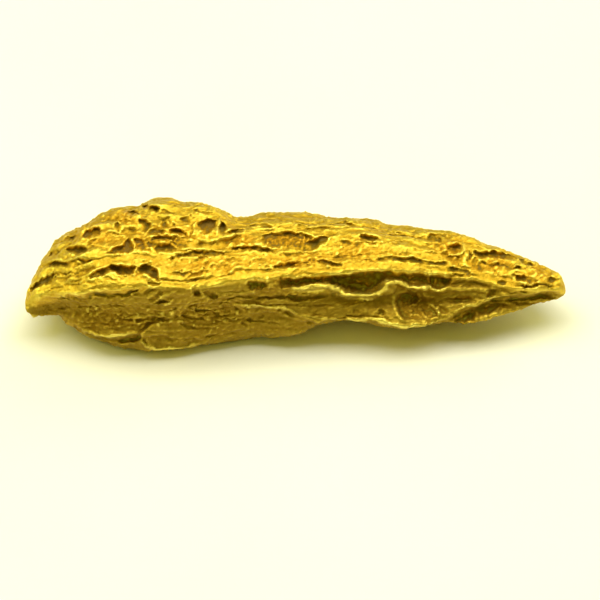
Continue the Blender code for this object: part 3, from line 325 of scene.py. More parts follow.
# Marks too narrow for the solid, in groups of one size: (half width, depth, lip, paths of (x, v)).
FINE_FURROWS = (
    (0.07, 0.12, 0.02, (((5.25, 3.45), (5.6, 3.45)),)),
    (0.06, 0.2, 0.02, (((5.9, 4.7), (6.2, 4.6), (6.55, 4.52), (6.75, 4.6)),)),
    (0.06, 0.1, 0.02, (
        ((18.15, 2.72), (18.45, 2.7), (18.75, 2.74)),
        ((19.4, 2.52), (19.65, 2.46), (19.9, 2.5)),
        ((20.15, 2.7), (20.4, 2.66)),
    )),
    (0.06, 0.12, 0.02, (
        ((21.55, 1.95), (21.8, 1.65), (22.15, 1.45)),
        ((15.6, 2.9), (16.6, 2.8), (17.8, 2.75), (18.6, 2.95)),
        ( (11.2, 4.05), (12.2, 4.0), (13.2, 3.95), (14.0, 3.85), (14.8, 3.8)),
        ( (17.9, 3.3), (18.8, 3.25), (19.8, 3.2), (20.8, 3.2), (21.6, 3.1)),
        ((0.75, 1.25), (1.0, 1.4), (1.3, 1.55)),
        ((1.5, 2.75), (1.85, 2.85), (2.3, 2.85)),
    )),
    (0.06, 0.12, 0.03, (
        ((1.0, 1.05), (1.6, 1.25), (2.4, 1.35), (3.1, 1.3)),
        ((6.3, 1.0), (7.3, 0.98), (8.3, 0.95), (9.3, 1.1), (10.3, 1.2)),
        ((10.6, 1.45), (11.6, 1.42), (12.3, 1.45), (13.4, 1.5)),
        ((4.2, 3.2), (4.6, 3.3), (4.9, 3.15)),
        ((9.2, 0.0), (9.7, -0.15), (10.2, -0.1), (10.6, -0.2)),
        ((13.0, 0.85), (13.8, 0.95), (14.6, 1.0), (15.3, 1.0)),
        ((15.9, 0.75), (16.5, 0.7), (17.1, 0.75)),
    )),
    (0.05, 0.1, 0.02, (
        ((1.6, 0.75), (2.6, 0.8), (3.6, 0.85), (4.6, 1.05)),
        ((14.6, 2.15), (15.6, 2.2), (16.6, 2.25), (17.8, 2.35), (18.8, 2.3)),
        ((13.4, 3.55), (14.4, 3.5), (15.2, 3.55)),
        ((23.4, 1.25), (24.0, 1.15), (24.5, 1.0)),
        ((24.4, 0.75), (25.1, 0.72), (25.9, 0.68)),
    )),
    (0.06, 0.13, 0.02, (((12.8, 2.3), (13.6, 2.25), (14.6, 2.4), (15.4, 2.5)),)),
    (0.07, 0.14, 0.03, (
        ((8.4, 4.45), (8.9, 4.35), (9.5, 4.2), (9.95, 4.0)),
        ((3.9, 3.85), (4.4, 3.9), (4.9, 3.85), (5.4, 3.9)),
    )),
    (0.07, 0.16, 0.03, (((7.9, 3.0), (8.2, 3.1), (8.4, 3.4), (8.35, 3.7)),)),
    (0.07, 0.16, 0.04, (
        ((6.5, 3.1), (6.75, 2.95), (7.15, 3.05), (7.45, 2.9), (7.7, 3.0)),
        ( (6.7, 4.1), (6.9, 3.95), (7.2, 4.05), (7.5, 3.85), (7.6, 3.65)),
    )),
    (0.05, 0.12, 0.04, (((4.7, 2.3), (4.85, 2.45), (4.95, 2.65)),)),
    (0.06, 0.14, 0.03, (
        ((3.6, 2.55), (3.9, 2.6), (4.15, 2.5)),
        ((15.8, 1.0), (16.4, 1.1), (17.0, 1.1), (17.6, 1.05)),
        ((18.4, 1.15), (19.0, 1.15), (19.6, 1.05), (20.0, 1.0)),
    )),
    (0.05, 0.1, 0.03, (
        ((22.6, 0.35), (23.2, 0.5), (24.2, 0.42), (25.2, 0.38), (26.2, 0.35)),
        ( (14.6, -0.85), (15.6, -0.8), (16.6, -0.82), (17.6, -0.9), (18.3, -1.0)),
    )),
    (0.05, 0.08, 0.02, (
        ((2.2, -0.35), (3.2, -0.25), (4.2, -0.2), (5.2, -0.3)),
        ((2.9, -0.95), (3.6, -1.1), (4.4, -1.25), (5.2, -1.25)),
        ( (12.9, -0.25), (14.0, -0.3), (15.2, -0.25), (16.4, -0.2), (17.3, -0.1)),
    )),
    (0.06, 0.14, 0.05, (
        ((6.7, -0.2), (7.1, 0.0), (7.4, 0.25)),
        ((7.3, -0.45), (7.8, -0.35), (8.3, -0.2), (8.8, -0.25)),
        ((8.2, -0.35), (8.6, -0.55), (9.1, -0.5), (9.6, -0.65), (10.1, -0.6)),
    )),
    (0.06, 0.12, 0.04, (((7.5, -0.75), (8.0, -0.8), (8.6, -0.95), (9.3, -0.9), (9.9, -1.05)),)),
    (0.05, 0.09, 0.02, (
        ((6.6, -1.9), (7.6, -1.95), (8.6, -1.85), (9.6, -1.7), (10.6, -1.6)),
        ((10.0, -0.85), (11.0, -0.95), (12.0, -1.1), (13.0, -1.25)),
    )),
    (0.06, 0.14, 0.04, (
        ((18.9, 0.2), (19.3, 0.25), (19.6, 0.1)),
        ((18.85, -0.25), (19.2, -0.2), (19.4, -0.4)),
    )),
)
# Worn rims that stand up along folds and lips: (half width, height, path of (x, v)).
RIMS = {
    "niche corner": (0.36, 0.34, ((17.7, 0.4), (18.05, 0.62), (18.45, 0.72))),
    "niche lip east": (0.3, 0.27, ((15.8, 0.4), (16.4, 0.22), (17.15, 0.18), (17.7, 0.34))),
    "niche lip": (0.19, 0.25, (
        (13.4, 0.52), (14.0, 0.64), (14.75, 0.73), (15.25, 0.7), (15.6, 0.52), (16.0, 0.37), (16.6, 0.24),
        (17.2, 0.24), (17.75, 0.36), (18.0, 0.6), (18.08, 0.85))),
    "niche brow": (0.18, 0.19, (
        (17.75, 0.9), (18.1, 0.95), (18.75, 0.95), (19.15, 0.68), (19.5, 0.6), (19.9, 0.64), (20.15, 0.78))),
    "round niche lip": (0.12, 0.14, ((20.25, 0.68), (20.6, 0.6), (21.0, 0.66))),
    "ear": (0.15, 0.085, ((18.3, 0.5), (18.45, 0.1), (18.42, -0.3), (18.55, -0.7), (18.9, -1.0))),
    "ear ridge": (0.1, 0.16, ((20.1, -0.15), (20.3, -0.3), (20.7, -0.66))),
    "beak hem": (0.08, 0.12, (
        (21.2, -0.58), (21.9, -0.38), (22.6, -0.26), (23.0, -0.08), (23.4, 0.12), (24.2, 0.28))),
    "beak line": (0.06, 0.07, ((24.0, 0.42), (25.0, 0.38), (26.0, 0.4))),
    "middle lobe hem": (0.11, 0.13, (
        (14.0, -0.75), (14.75, -0.88), (15.75, -0.98), (17.25, -1.0), (18.0, -1.08), (18.5, -1.2),
        (19.0, -1.28), (20.0, -1.15), (20.75, -1.0), (21.4, -0.8))),
    "drape": (0.09, 0.13, ((10.4, -0.22), (11.2, -0.28), (12.0, -0.32), (12.9, -0.45), (13.6, -0.65))),
    "seam brow": (0.06, 0.07, ((13.3, 0.28), (14.2, 0.22), (14.9, 0.38), (15.4, 0.42))),
    "leaf hem": (0.1, 0.13, ((2.85, -1.42), (3.5, -1.72), (4.1, -1.84), (5.0, -1.76), (5.7, -1.58))),
    "leaf fold": (0.07, 0.09, ((4.75, -0.84), (5.6, -0.82), (6.3, -0.74), (6.9, -0.76), (7.5, -0.92))),
    "belly hem": (0.11, 0.13, (
        (5.92, -1.72), (5.88, -2.0), (6.15, -2.26), (6.75, -2.38), (7.75, -2.34), (8.8, -2.1))),
    "gnarl one": (0.07, 0.1, ((6.4, -0.1), (6.85, 0.1), (7.25, 0.32), (7.7, 0.42))),
    "gnarl two": (0.07, 0.1, ((6.9, -0.35), (7.3, -0.12), (7.6, 0.12))),
    "gnarl three": (0.06, 0.1, ((7.6, -0.5), (8.05, -0.3), (8.35, -0.05))),
    "gnarl four": (0.07, 0.1, ((8.1, 0.5), (8.4, 0.55), (8.6, 0.72))),
    "gnarl five": (0.06, 0.08, ((8.9, -0.7), (9.4, -0.55), (9.9, -0.6), (10.3, -0.75))),
    "gnarl six": (0.06, 0.08, ((9.6, 0.3), (10.2, 0.32), (10.9, 0.42), (11.6, 0.42))),
    "niche lip west": (0.24, 0.14, ((13.2, 0.4), (14.0, 0.5), (14.8, 0.55), (15.4, 0.45))),
    "seam lip": (0.08, 0.09, ((1.6, 0.3), (2.4, 0.33), (3.2, 0.4), (4.0, 0.48), (4.9, 0.5), (5.5, 0.6))),
    "knuckle": (0.09, 0.16, ((21.25, 2.25), (21.6, 2.32), (21.9, 2.4), (21.95, 2.72))),
    "knuckle foot": (0.12, 0.13, ((21.95, 2.4), (22.1, 2.2), (21.9, 1.95), (22.05, 1.72), (22.4, 1.62))),
    "gable": (0.07, 0.12, ((5.5, 2.3), (5.55, 2.65), (5.42, 2.95), (5.6, 3.1))),
    "crown bridge": (0.07, 0.12, ((6.5, 2.8), (7.0, 2.78), (7.5, 2.68), (8.0, 2.72))),
    "crown fork": (0.07, 0.12, ((6.35, 3.05), (6.75, 3.15), (7.1, 3.05), (7.35, 3.15))),
    "shoulder": (0.07, 0.12, ((9.7, 4.0), (9.72, 3.6), (9.62, 3.2))),
    "shoulder spur": (0.08, 0.14, ((8.85, 3.7), (9.0, 3.35), (9.2, 3.05))),
    "shoulder west": (0.07, 0.12, ((8.45, 3.3), (8.4, 3.6), (8.6, 3.85))),
}
# Where the worn lip along the crest ends and the cheek under it, which is dull and painted with shade,
# begins, as (x, v).
LIP_FOOT = (
    (0.0, -0.3), (1.0, -0.1), (1.75, 0.1), (3.6, 0.25), (5.8, 0.45), (6.5, 0.68), (8.0, 0.68), (9.4, 0.78),
    (11.0, 1.0), (13.25, 1.12), (15.25, 1.3), (17.25, 1.45), (19.5, 1.42), (21.25, 1.28), (22.5, 1.05),
    (24.0, 0.62), (26.3, 0.5), (27.05, 0.35),
)
# The long hollow's upright ribs, raised across its floor.
RIBS_FROM, RIBS_TO, RIB_COUNT = 12.1, 14.1, 9
# Round pits: (x, v, radius, depth).
PITS = (
    (3.25, 2.75, 0.13, 0.16), (3.5, 2.6, 0.1, 0.12), (4.7, 3.55, 0.17, 0.22), (7.55, 4.7, 0.09, 0.12),
    (7.0, 3.75, 0.2, 0.24), (14.9, 3.95, 0.1, 0.1), (18.97, 2.6, 0.07, 0.1), (20.3, 2.45, 0.07, 0.1),
    (26.4, 0.8, 0.07, 0.1), (26.65, 1.0, 0.07, 0.1), (14.65, 1.85, 0.08, 0.12), (20.45, -0.7, 0.14, 0.18),
    (8.7, 0.3, 0.2, 0.25), (10.0, -1.65, 0.08, 0.1), (3.2, -0.6, 0.07, 0.08), (4.9, -0.55, 0.06, 0.07),
    (5.4, -1.3, 0.08, 0.08), (13.6, -0.15, 0.07, 0.08), (15.1, 0.0, 0.08, 0.09), (16.9, -0.1, 0.08, 0.1),
    (12.2, -1.2, 0.07, 0.08), (7.2, -1.7, 0.08, 0.08), (9.4, -1.9, 0.07, 0.08), (24.6, 1.55, 0.1, 0.14),
    (17.9, 3.55, 0.09, 0.12), (16.2, 1.9, 0.08, 0.1), (9.0, 1.6, 0.09, 0.1), (7.9, 1.5, 0.08, 0.1),
    (11.3, 1.8, 0.09, 0.12), (2.7, 1.2, 0.08, 0.08), (2.1, 1.25, 0.07, 0.07), (21.0, 1.0, 0.12, 0.16),
    (19.2, 0.95, 0.09, 0.12), (22.9, 1.8, 0.1, 0.12), (23.6, 1.75, 0.1, 0.12), (23.2, 2.0, 0.07, 0.1),
)
# Patches of crumbly metal: (centre x, centre v, half size in x, half size in v).
CRUMBLY = (
    (12.4, 0.65, 1.4, 0.35), (19.7, -0.65, 0.9, 0.3), (17.9, 0.7, 0.35, 0.35), (4.4, -0.9, 2.4, 0.7),
    (9.3, 1.75, 2.8, 0.5), (13.6, 1.95, 2.4, 0.45), (16.6, 2.45, 1.6, 0.6), (23.3, 1.8, 1.2, 0.45),
    (11.0, 2.85, 1.2, 0.35), (13.1, 2.9, 1.3, 0.35), (8.9, -0.7, 1.9, 0.8), (19.3, -0.2, 0.7, 0.6),
    (5.3, 2.7, 1.3, 0.5), (9.0, 3.4, 0.9, 0.5), (3.4, 3.2, 1.2, 0.5), (7.4, 3.2, 1.1, 0.8),
    (5.0, 4.1, 1.0, 0.4), (16.5, 0.9, 1.3, 0.5), (19.3, 1.05, 1.0, 0.35), (20.8, 0.9, 0.6, 0.35),
    (5.0, 1.5, 1.6, 0.3), (21.3, 2.5, 0.9, 0.5), (14.3, 0.9, 1.4, 0.3), (25.2, 1.2, 1.2, 0.4),
)
# Colours of the metal from its ridges down to its creases: (depth, colour). The dark colours are partly brown
# stain and partly painted shade; the palest also serves as a painted highlight on rims.
GOLD_BY_DEPTH = (
    (0.05, (0.9, 0.74, 0.13)), (0.25, (0.72, 0.53, 0.06)), (0.45, (0.6, 0.395, 0.034)),
    (0.6, (0.51, 0.31, 0.019)), (0.76, (0.38, 0.245, 0.014)), (0.93, (0.22, 0.145, 0.01)),
)
REDDENING = (1.0, 0.86, 0.7)
# Painted shade: how much darker the colour is on the shaded cheek under the crest and on the steep hidden
# sides.
PAINTED_SHADE_DARKENING = (0.63, 0.63, 0.63)
# Painted shade: the olive colour of the deepest places on those shaded faces.
PAINTED_SHADE_OLIVE = (0.5, 0.43, 0.05)
TABLE_COLOURS = ((0.3, (0.86, 0.85, 0.78)), (0.7, (0.9, 0.89, 0.82)))


def smooth_step(low, high, value):
    """0 below low, 1 above high, with a soft rise between them."""
    t = np.clip((value - low) / (high - low), 0.0, 1.0)
    return t * t * (3.0 - 2.0 * t)


def rail(knots, x):
    """A smooth curve through the knots of a rail, read at every x."""
    at = np.array([k[0] for k in knots])
    value = np.array([k[1] for k in knots])
    slope = np.gradient(value, at)
    i = np.clip(np.searchsorted(at, x) - 1, 0, len(at) - 2)
    span = at[i + 1] - at[i]
    t = (x - at[i]) / span
    rise = value[i] * (1 + 2 * t) * (1 - t) ** 2 + value[i + 1] * t * t * (3 - 2 * t)
    return rise + span * (slope[i] * t * (1 - t) ** 2 - slope[i + 1] * t * t * (1 - t))


def behind_sheet(v, z):
    """The depth y of a point that is v up the sheet and z above the table."""
    return (v - z * SHEET_UP[2]) / SHEET_UP[1]


def section_points(x):
    """The eight rails at every x, in order round the section, as arrays of (y, z)."""
    top_v, crest_v, foot_v = (rail(r, x) for r in (OUTLINE_TOP, CREST, OUTLINE_FOOT))
    top_z, crest_z, foot_z = (rail(r, x) for r in (TOP_HEIGHT, CREST_HEIGHT, FOOT_HEIGHT))
    top_y = behind_sheet(top_v, top_z)
    crest_y = behind_sheet(crest_v, crest_z)
    foot_y = behind_sheet(foot_v, foot_z)
    girth = smooth_step(0.0, 2.5, x) * smooth_step(0.0, 3.5, LENGTH - x)
    cheek_v = foot_v + CHEEK_SHARE * (crest_v - foot_v)
    cheek_z = rail(CHEEK_HEIGHT, x)
    back_y = rail(BACK_DEPTH, x)
    sole_y = 0.5 * (foot_y + back_y)
    brow = np.stack(((crest_y + top_y) / 2, (crest_z + top_z) / 2 + BROW_RISE * girth), -1)
    return (
        np.stack((crest_y, crest_z), -1),
        brow,
        np.stack((top_y, top_z), -1),
        np.stack((back_y, rail(BACK_HEIGHT, x)), -1),
        np.stack((back_y - HEEL_TUCK * girth, rail(HEEL_HEIGHT, x)), -1),
        np.stack((sole_y, rail(SOLE_HEIGHT, x)), -1),
        np.stack((foot_y, foot_z), -1),
        np.stack((behind_sheet(cheek_v, cheek_z), cheek_z), -1),
    )


def around_section(points, turn):
    """The closed curve through the section's rails, at a turn from 0 to 1 for each point."""
    rails = np.stack(points, 1)
    count = rails.shape[1]
    place = (turn % 1.0) * count
    i = np.floor(place).astype(int)
    t = (place - i)[:, None]
    rows = np.arange(len(turn))
    before, here, after, beyond = (rails[rows, (i + k) % count] for k in (-1, 0, 1, 2))
    return 0.5 * (
        2 * here
        + (after - before) * t
        + (2 * before - 5 * here + 4 * after - beyond) * t**2
        + (3 * here - before - 3 * after + beyond) * t**3
    )


def add_object(name, data):
    thing = bpy.data.objects.new(name, data)
    bpy.context.scene.collection.objects.link(thing)
    return thing


def read_vectors(mesh, kind):
    """One row for each vertex: its place where kind is co, or its normal where kind is normal."""
    flat = np.empty(len(mesh.vertices) * 3, np.float32)
    mesh.vertices.foreach_get(kind, flat)
    return flat.reshape(-1, 3).astype(float)


def write_points(mesh, points):
    mesh.vertices.foreach_set("co", points.astype(np.float32).ravel())
    mesh.update()


def nugget_loft():
    """A sphere whose rings are carried onto the rails. Its poles become the two tips."""
    shape = bmesh.new()
    made = bmesh.ops.create_uvsphere(shape, u_segments=RING_POINTS, v_segments=RING_COUNT, radius=1.0)
    verts = made["verts"]
    unit = np.array([v.co for v in verts])
    x = LENGTH * (1 - unit[:, 2]) / 2
    turn = np.arctan2(unit[:, 1], unit[:, 0]) / (2 * math.pi)
    section = around_section(section_points(x), turn)
    for vert, along, (y, z) in zip(verts, x, section):
        vert.co = (along, y, z)
    mesh = bpy.data.meshes.new("nugget loft")
    shape.to_mesh(mesh)
    shape.free()
    return mesh


def even_skin(mesh, cell, settling):
    """The mesh as one closed skin of even cells, with its corners settled a little."""
    rough = add_object("rough_nugget", mesh)
    remesh = rough.modifiers.new("even skin", "REMESH")
    remesh.mode = "VOXEL"
    remesh.voxel_size = cell
    settle = rough.modifiers.new("settle", "SMOOTH")
    settle.factor = 0.5
    settle.iterations = settling
    graph = bpy.context.evaluated_depsgraph_get()
    skin = bpy.data.meshes.new_from_object(rough.evaluated_get(graph))
    bpy.data.objects.remove(rough)
    return skin


def lumps(points, size, shift=(0.0, 0.0, 0.0)):
    """Smooth noise at each point, in lumps of one size or of three sizes along x, y and z."""
    return np.array([noise.noise(Vector(p)) for p in (points / size + shift).tolist()])


def wander(points, size, reach):
    """A smooth random shift in (x, v) that keeps carved edges from running true."""
    return reach * np.array([noise.noise_vector(Vector(p) / size)[:2] for p in points])


def along_path(sheet, path):
    """For each point, its distance to a path, the share of the path up to there, and its side of the path.

    The side is above 0 to the left of the path's direction.
    """
    path = np.array(path)
    steps = np.linalg.norm(np.diff(path, axis=0), axis=1)
    ends = np.concatenate(([0.0], np.cumsum(steps))) / steps.sum()
    best = np.full(len(sheet), np.inf)
    share = np.zeros(len(sheet))
    side = np.zeros(len(sheet))
    for start, stop, low, high in zip(path[:-1], path[1:], ends[:-1], ends[1:]):
        leg = stop - start
        t = np.clip((sheet - start) @ leg / (leg @ leg), 0.0, 1.0)
        off = sheet - start - t[:, None] * leg
        distance = np.linalg.norm(off, axis=1)
        nearer = distance < best
        best[nearer] = distance[nearer]
        share[nearer] = (low + t * (high - low))[nearer]
        side[nearer] = leg[0] * off[nearer, 1] - leg[1] * off[nearer, 0]
    return best, share, side


def near_outline(sheet, outline, reach):
    outline = np.array(outline)
    return np.all((sheet > outline.min(0) - reach) & (sheet < outline.max(0) + reach), axis=1)


def furrow(sheet, half_width, depth, lip, path):
    """How far each point moves out for a furrow that tapers to its ends, with a lip along both sides."""
    inside = near_outline(sheet, path, 4 * half_width)
    rise = np.zeros(len(sheet))
    distance, share, _ = along_path(sheet[inside], path)
    taper = 0.45 + 0.55 * np.sqrt(np.sin(math.pi * np.clip(share, 0.0, 1.0)))
    across = distance / (half_width * taper)
    cut = (1 - smooth_step(0.3, 1.3, across)) * taper
    rim = np.exp(-(((across - 1.7) / 0.45) ** 2))
    rise[inside] = lip * rim - depth * cut
    return rise


def hollow(sheet, depth, edge, outline):
    """How far each point moves out for a sunken area with a steep edge."""
    rise = np.zeros(len(sheet))
    corners = np.array(outline)
    inside_box = near_outline(sheet, outline, 3 * edge)
    spot = sheet[inside_box]
    distance, _, _ = along_path(spot, list(outline) + [outline[0]])
    within = np.zeros(len(spot), bool)
    for (x0, v0), (x1, v1) in zip(corners, np.roll(corners, -1, axis=0)):
        crosses = (v0 > spot[:, 1]) != (v1 > spot[:, 1])
        with np.errstate(divide="ignore", invalid="ignore"):
            at = x0 + (spot[:, 1] - v0) * (x1 - x0) / (v1 - v0)
        within ^= crosses & (spot[:, 0] < at)
    signed = np.where(within, -distance, distance)
    rise[inside_box] = -depth * (1 - smooth_step(-edge, 0.6 * edge, signed))
    return rise


def ledge(sheet, height, steep, gentle, path):
    """How far each point moves out for a layer whose edge is the path."""
    inside = near_outline(sheet, path, 2.5 * gentle)
    distance, share, side = along_path(sheet[inside], path)
    on_top = np.exp(-((distance / gentle) ** 2))
    beyond = 1 - smooth_step(0.0, steep, distance)
    taper = np.sqrt(np.sin(math.pi * np.clip(share, 0.02, 0.98)))
    rise = np.zeros(len(sheet))
    rise[inside] = height * taper * np.where(side > 0, on_top, beyond)
    return rise


def mound(sheet, height, x, v, half_x, half_v):
    """How far each point moves out for a rounded swell."""
    return height * np.exp(-(((sheet[:, 0] - x) / half_x) ** 2 + ((sheet[:, 1] - v) / half_v) ** 2))


def pit(sheet, x, v, radius, depth):
    """How far each point moves out for a round pit with a faint rim."""
    across = np.hypot(sheet[:, 0] - x, sheet[:, 1] - v) / radius
    rim = np.exp(-(((across - 1.35) / 0.3) ** 2))
    return 0.15 * depth * rim - depth * (1 - smooth_step(0.35, 1.15, across))


def hair_marks(seed, count):
    """Short hair-thin furrows on the front, that follow the lie of the crest."""
    draw = random.Random(seed)
    found = []
    while len(found) < count:
        x = draw.uniform(0.8, LENGTH - 1.5)
        top, crest, foot = (float(rail(r, np.array([x]))[0]) for r in (OUTLINE_TOP, CREST, OUTLINE_FOOT))
        v = draw.uniform(foot + 0.15, top - 0.15)
        reach = draw.uniform(0.25, 1.3)
        above = v > crest
        path = []
        steps = max(2, round(reach / 0.25))
        for step in range(steps + 1):
            along = x + reach * step / steps
            lift = float(rail(CREST, np.array([min(along, LENGTH)]))[0]) - crest
            path.append((along, v + lift + draw.uniform(-0.04, 0.04)))
        half_width = draw.uniform(0.04, 0.085)
        depth = half_width * (draw.uniform(0.8, 1.5) if above else draw.uniform(0.3, 0.7))
        found.append((half_width, depth, 0.25 * half_width, path))
    return found


def crumb_spots(seed, density):
    """Round crumbs that stick in the crumbly patches, as (x, v, radius)."""
    draw = random.Random(seed)
    found = []
    for x, v, half_x, half_v in CRUMBLY:
        for _ in range(round(density * half_x * half_v)):
            turn = draw.uniform(0, 2 * math.pi)
            out = 1.1 * math.sqrt(draw.random())
            found.append((x + out * half_x * math.cos(turn), v + out * half_v * math.sin(turn),
                          draw.uniform(0.06, 0.12)))
    return found


def front_carving(points):
    """The nugget's own marks on the side that the sheet faces.

    They are given as broad forms and marks cut in, and as shares of raised rims and of the floors of hollows.
    """
    sheet = np.column_stack((points[:, 0], points @ SHEET_UP)) + wander(points, size=0.55, reach=0.09)
    forms = np.zeros(len(points))
    for height, steep, gentle, path in LEDGES.values():
        forms += ledge(sheet, height, steep, gentle, path)
    for height, x, v, half_x, half_v in SWELLS.values():
        forms += mound(sheet, height, x, v, half_x, half_v)
    # Tighter wanders give the marks their broken edges.
    sheet += wander(points, size=0.2, reach=0.06) + wander(points, size=0.09, reach=0.03)
    cuts = np.zeros(len(points))
    for half_width, depth, lip, path in UPPER_FURROWS.values():
        cuts += furrow(sheet, half_width, UPPER_SHARE * depth, lip, path)
    for half_width, depth, lip, path in FRONT_FURROWS.values():
        cuts += furrow(sheet, half_width, FRONT_SHARE * depth, lip, path)
    for half_width, depth, lip, paths in FINE_FURROWS:
        for path in paths:
            cuts += furrow(sheet, half_width, FINE_SHARE * depth, lip, path)
    for half_width, depth, lip, path in hair_marks(seed=21, count=300):
        cuts += furrow(sheet, half_width, depth, lip, path)
    for x, v, radius, depth in PITS:
        cuts += pit(sheet, x, v, radius, PIT_SHARE * depth)
    uneven = 1.0 + 1.1 * lumps(points, 0.42)
    cuts *= np.clip(uneven, 0.25, 1.6)
    floors = np.zeros(len(points))
    for depth, edge, outline in HOLLOWS.values():
        sunk = hollow(sheet, HOLLOW_SHARE * depth, edge, outline)
        cuts += sunk
        floors = np.maximum(floors, smooth_step(0.08, 0.2, -sunk))
    draw = random.Random(8)
    for x in np.linspace(RIBS_FROM, RIBS_TO, RIB_COUNT):
        x += draw.uniform(-0.07, 0.07)
        foot, top = draw.uniform(2.65, 2.8), draw.uniform(3.05, 3.25)
        path = ((x, foot), (x + draw.uniform(-0.06, 0.1), 2.95), (x + draw.uniform(0.0, 0.15), top))
        forms += furrow(sheet, draw.uniform(0.05, 0.09), -draw.uniform(0.06, 0.13), 0.0, path)
    raised = np.zeros(len(points))
    for half_width, height, path in RIMS.values():
        rim = furrow(sheet, half_width, -1.0, 0.0, path)
        raised = np.maximum(raised, smooth_step(0.05, 0.16, height * rim))
        forms += height * rim
    for x, v, radius in crumb_spots(seed=5, density=14):
        crumb = pit(sheet, x, v, radius, -1.0)
        raised = np.maximum(raised, 0.6 * crumb)
        forms += 0.9 * radius * crumb
    return forms, cuts, raised * np.clip(uneven, 0.35, 1.1), floors


def scattered_furrows(seed, count, low, high):
    """Long furrows that run with the grain, for a side that has no drawing of its own."""
    draw = random.Random(seed)
    found = []
    for _ in range(count):
        x = draw.uniform(1.6, LENGTH - 4.0)
        v = draw.uniform(low, high)
        reach = draw.uniform(0.5, 2.6)
        steps = max(2, round(reach / 0.5))
        path = []
        for step in range(steps + 1):
            path.append((x + reach * step / steps, v))
            v += draw.uniform(-0.16, 0.16)
        half_width = draw.uniform(0.09, 0.18)
        found.append((half_width, 1.8 * half_width, 0.04, path))
    return found


def side_carving(points, across, seed, count, low, high):
    """The same kind of marks on a hidden side, on a sheet of (x, across)."""
    sheet = np.column_stack((points[:, 0], across)) + wander(points, size=0.7, reach=0.14)
    rise = np.zeros(len(points))
    for half_width, depth, lip, path in scattered_furrows(seed, count, low, high):
        rise += furrow(sheet, half_width, depth, lip, path)
    return rise


def fine_side_carving(points, across, seed, count, low, high):
    """Narrow marks on a hidden side, between the wide ones."""
    sheet = np.column_stack((points[:, 0], across)) + wander(points, size=0.3, reach=0.08)
    draw = random.Random(seed)
    rise = np.zeros(len(points))
    for _ in range(count):
        x, v = draw.uniform(0.6, LENGTH - 1.5), draw.uniform(low, high)
        reach, half_width = draw.uniform(0.3, 1.8), draw.uniform(0.05, 0.1)
        path = [(x + reach * s, v + draw.uniform(-0.07, 0.07)) for s in (0.0, 0.33, 0.67, 1.0)]
        rise += furrow(sheet, half_width, 1.6 * half_width, 0.3 * half_width, path)
    return rise


def along_grain(points):
    """The points without the lean of the crest, so that what is worked out on them runs with the grain."""
    level = points.copy()
    level[:, 1] -= rail(CREST, points[:, 0]) / SHEET_UP[1]
    return level


def grain(points):
    """Long, low ridges and creases that follow the grain of the metal."""
    level = along_grain(points)
    broad = lumps(level, (3.4, 1.2, 1.2))
    middle = lumps(level, (1.9, 0.6, 0.6), (9.0, 0.0, 0.0))
    fine = lumps(level, (0.8, 0.42, 0.42), (4.0, 0.0, 0.0))
    return 0.16 * broad + 0.15 * (0.4 - abs(middle)) + 0.06 * fine


def layers(points):
    """Overlapping layers of metal whose edges run along the nugget, from 0 to 0.8."""
    level = points @ (0.0, 0.6, 1.1) + 2.0 * lumps(points, (4.0, 1.6, 1.6), (0.0, 6.0, 0.0))
    level += 0.3 * lumps(points, (1.1, 0.6, 0.6))
    step = level - np.floor(level)
    return smooth_step(0.0, 0.22, step) - step


def fine_grain(points):
    """Hair-thin ridges along the grain, a fine pitting, and round crumbs with creases between them."""
    level = along_grain(points)
    ridges = 0.35 - abs(lumps(level, (0.7, 0.2, 0.2), (2.0, 0.0, 0.0)))
    coarse = lumps(level, (0.2, 0.17, 0.17), (0.0, 5.0, 0.0))
    speck = lumps(level, 0.11, (7.0, 0.0, 0.0))
    crumbs = 2 * abs(lumps(level, (0.33, 0.26, 0.26), (0.0, 3.0, 0.0))) - 0.35
    return ridges, 0.6 * coarse + 0.4 * speck, crumbs


def crumbliness(points, to_front):
    """From 0 on smooth metal to 1 in the crumbly patches."""
    sheet = np.column_stack((points[:, 0], points @ SHEET_UP)) + wander(points, size=0.8, reach=0.5)
    front = np.zeros(len(points))
    for x, v, half_x, half_v in CRUMBLY:
        front = np.maximum(front, mound(sheet, 1.0, x, v, half_x, half_v))
    hidden = 0.15 + 0.9 * lumps(points, 2.2)
    return np.clip(to_front * front + (1 - to_front) * hidden, 0.0, 1.0)


def neighbour_mean(mesh):
    """A function that spreads a value of each vertex evenly over its neighbours."""
    ends = np.empty(len(mesh.edges) * 2, np.int32)
    mesh.edges.foreach_get("vertices", ends)
    a, b = ends.reshape(-1, 2).T
    count = np.bincount(np.concatenate((a, b)), minlength=len(mesh.vertices)).astype(float)

    def mean(values, passes):
        for _ in range(passes):
            total = np.zeros_like(values)
            for column in range(values.shape[1]):
                total[:, column] = np.bincount(a, values[b, column], len(count))
                total[:, column] += np.bincount(b, values[a, column], len(count))
            values = 0.5 * values + 0.5 * total / count[:, None]
        return values

    return mean


def set_share(mesh, name, values):
    """Keeps a number from 0 to 1 on each vertex for the material to read."""
    attribute = mesh.attributes.new(name, "FLOAT", "POINT")
    attribute.data.foreach_set("value", np.clip(values, 0.0, 1.0).astype(np.float32))


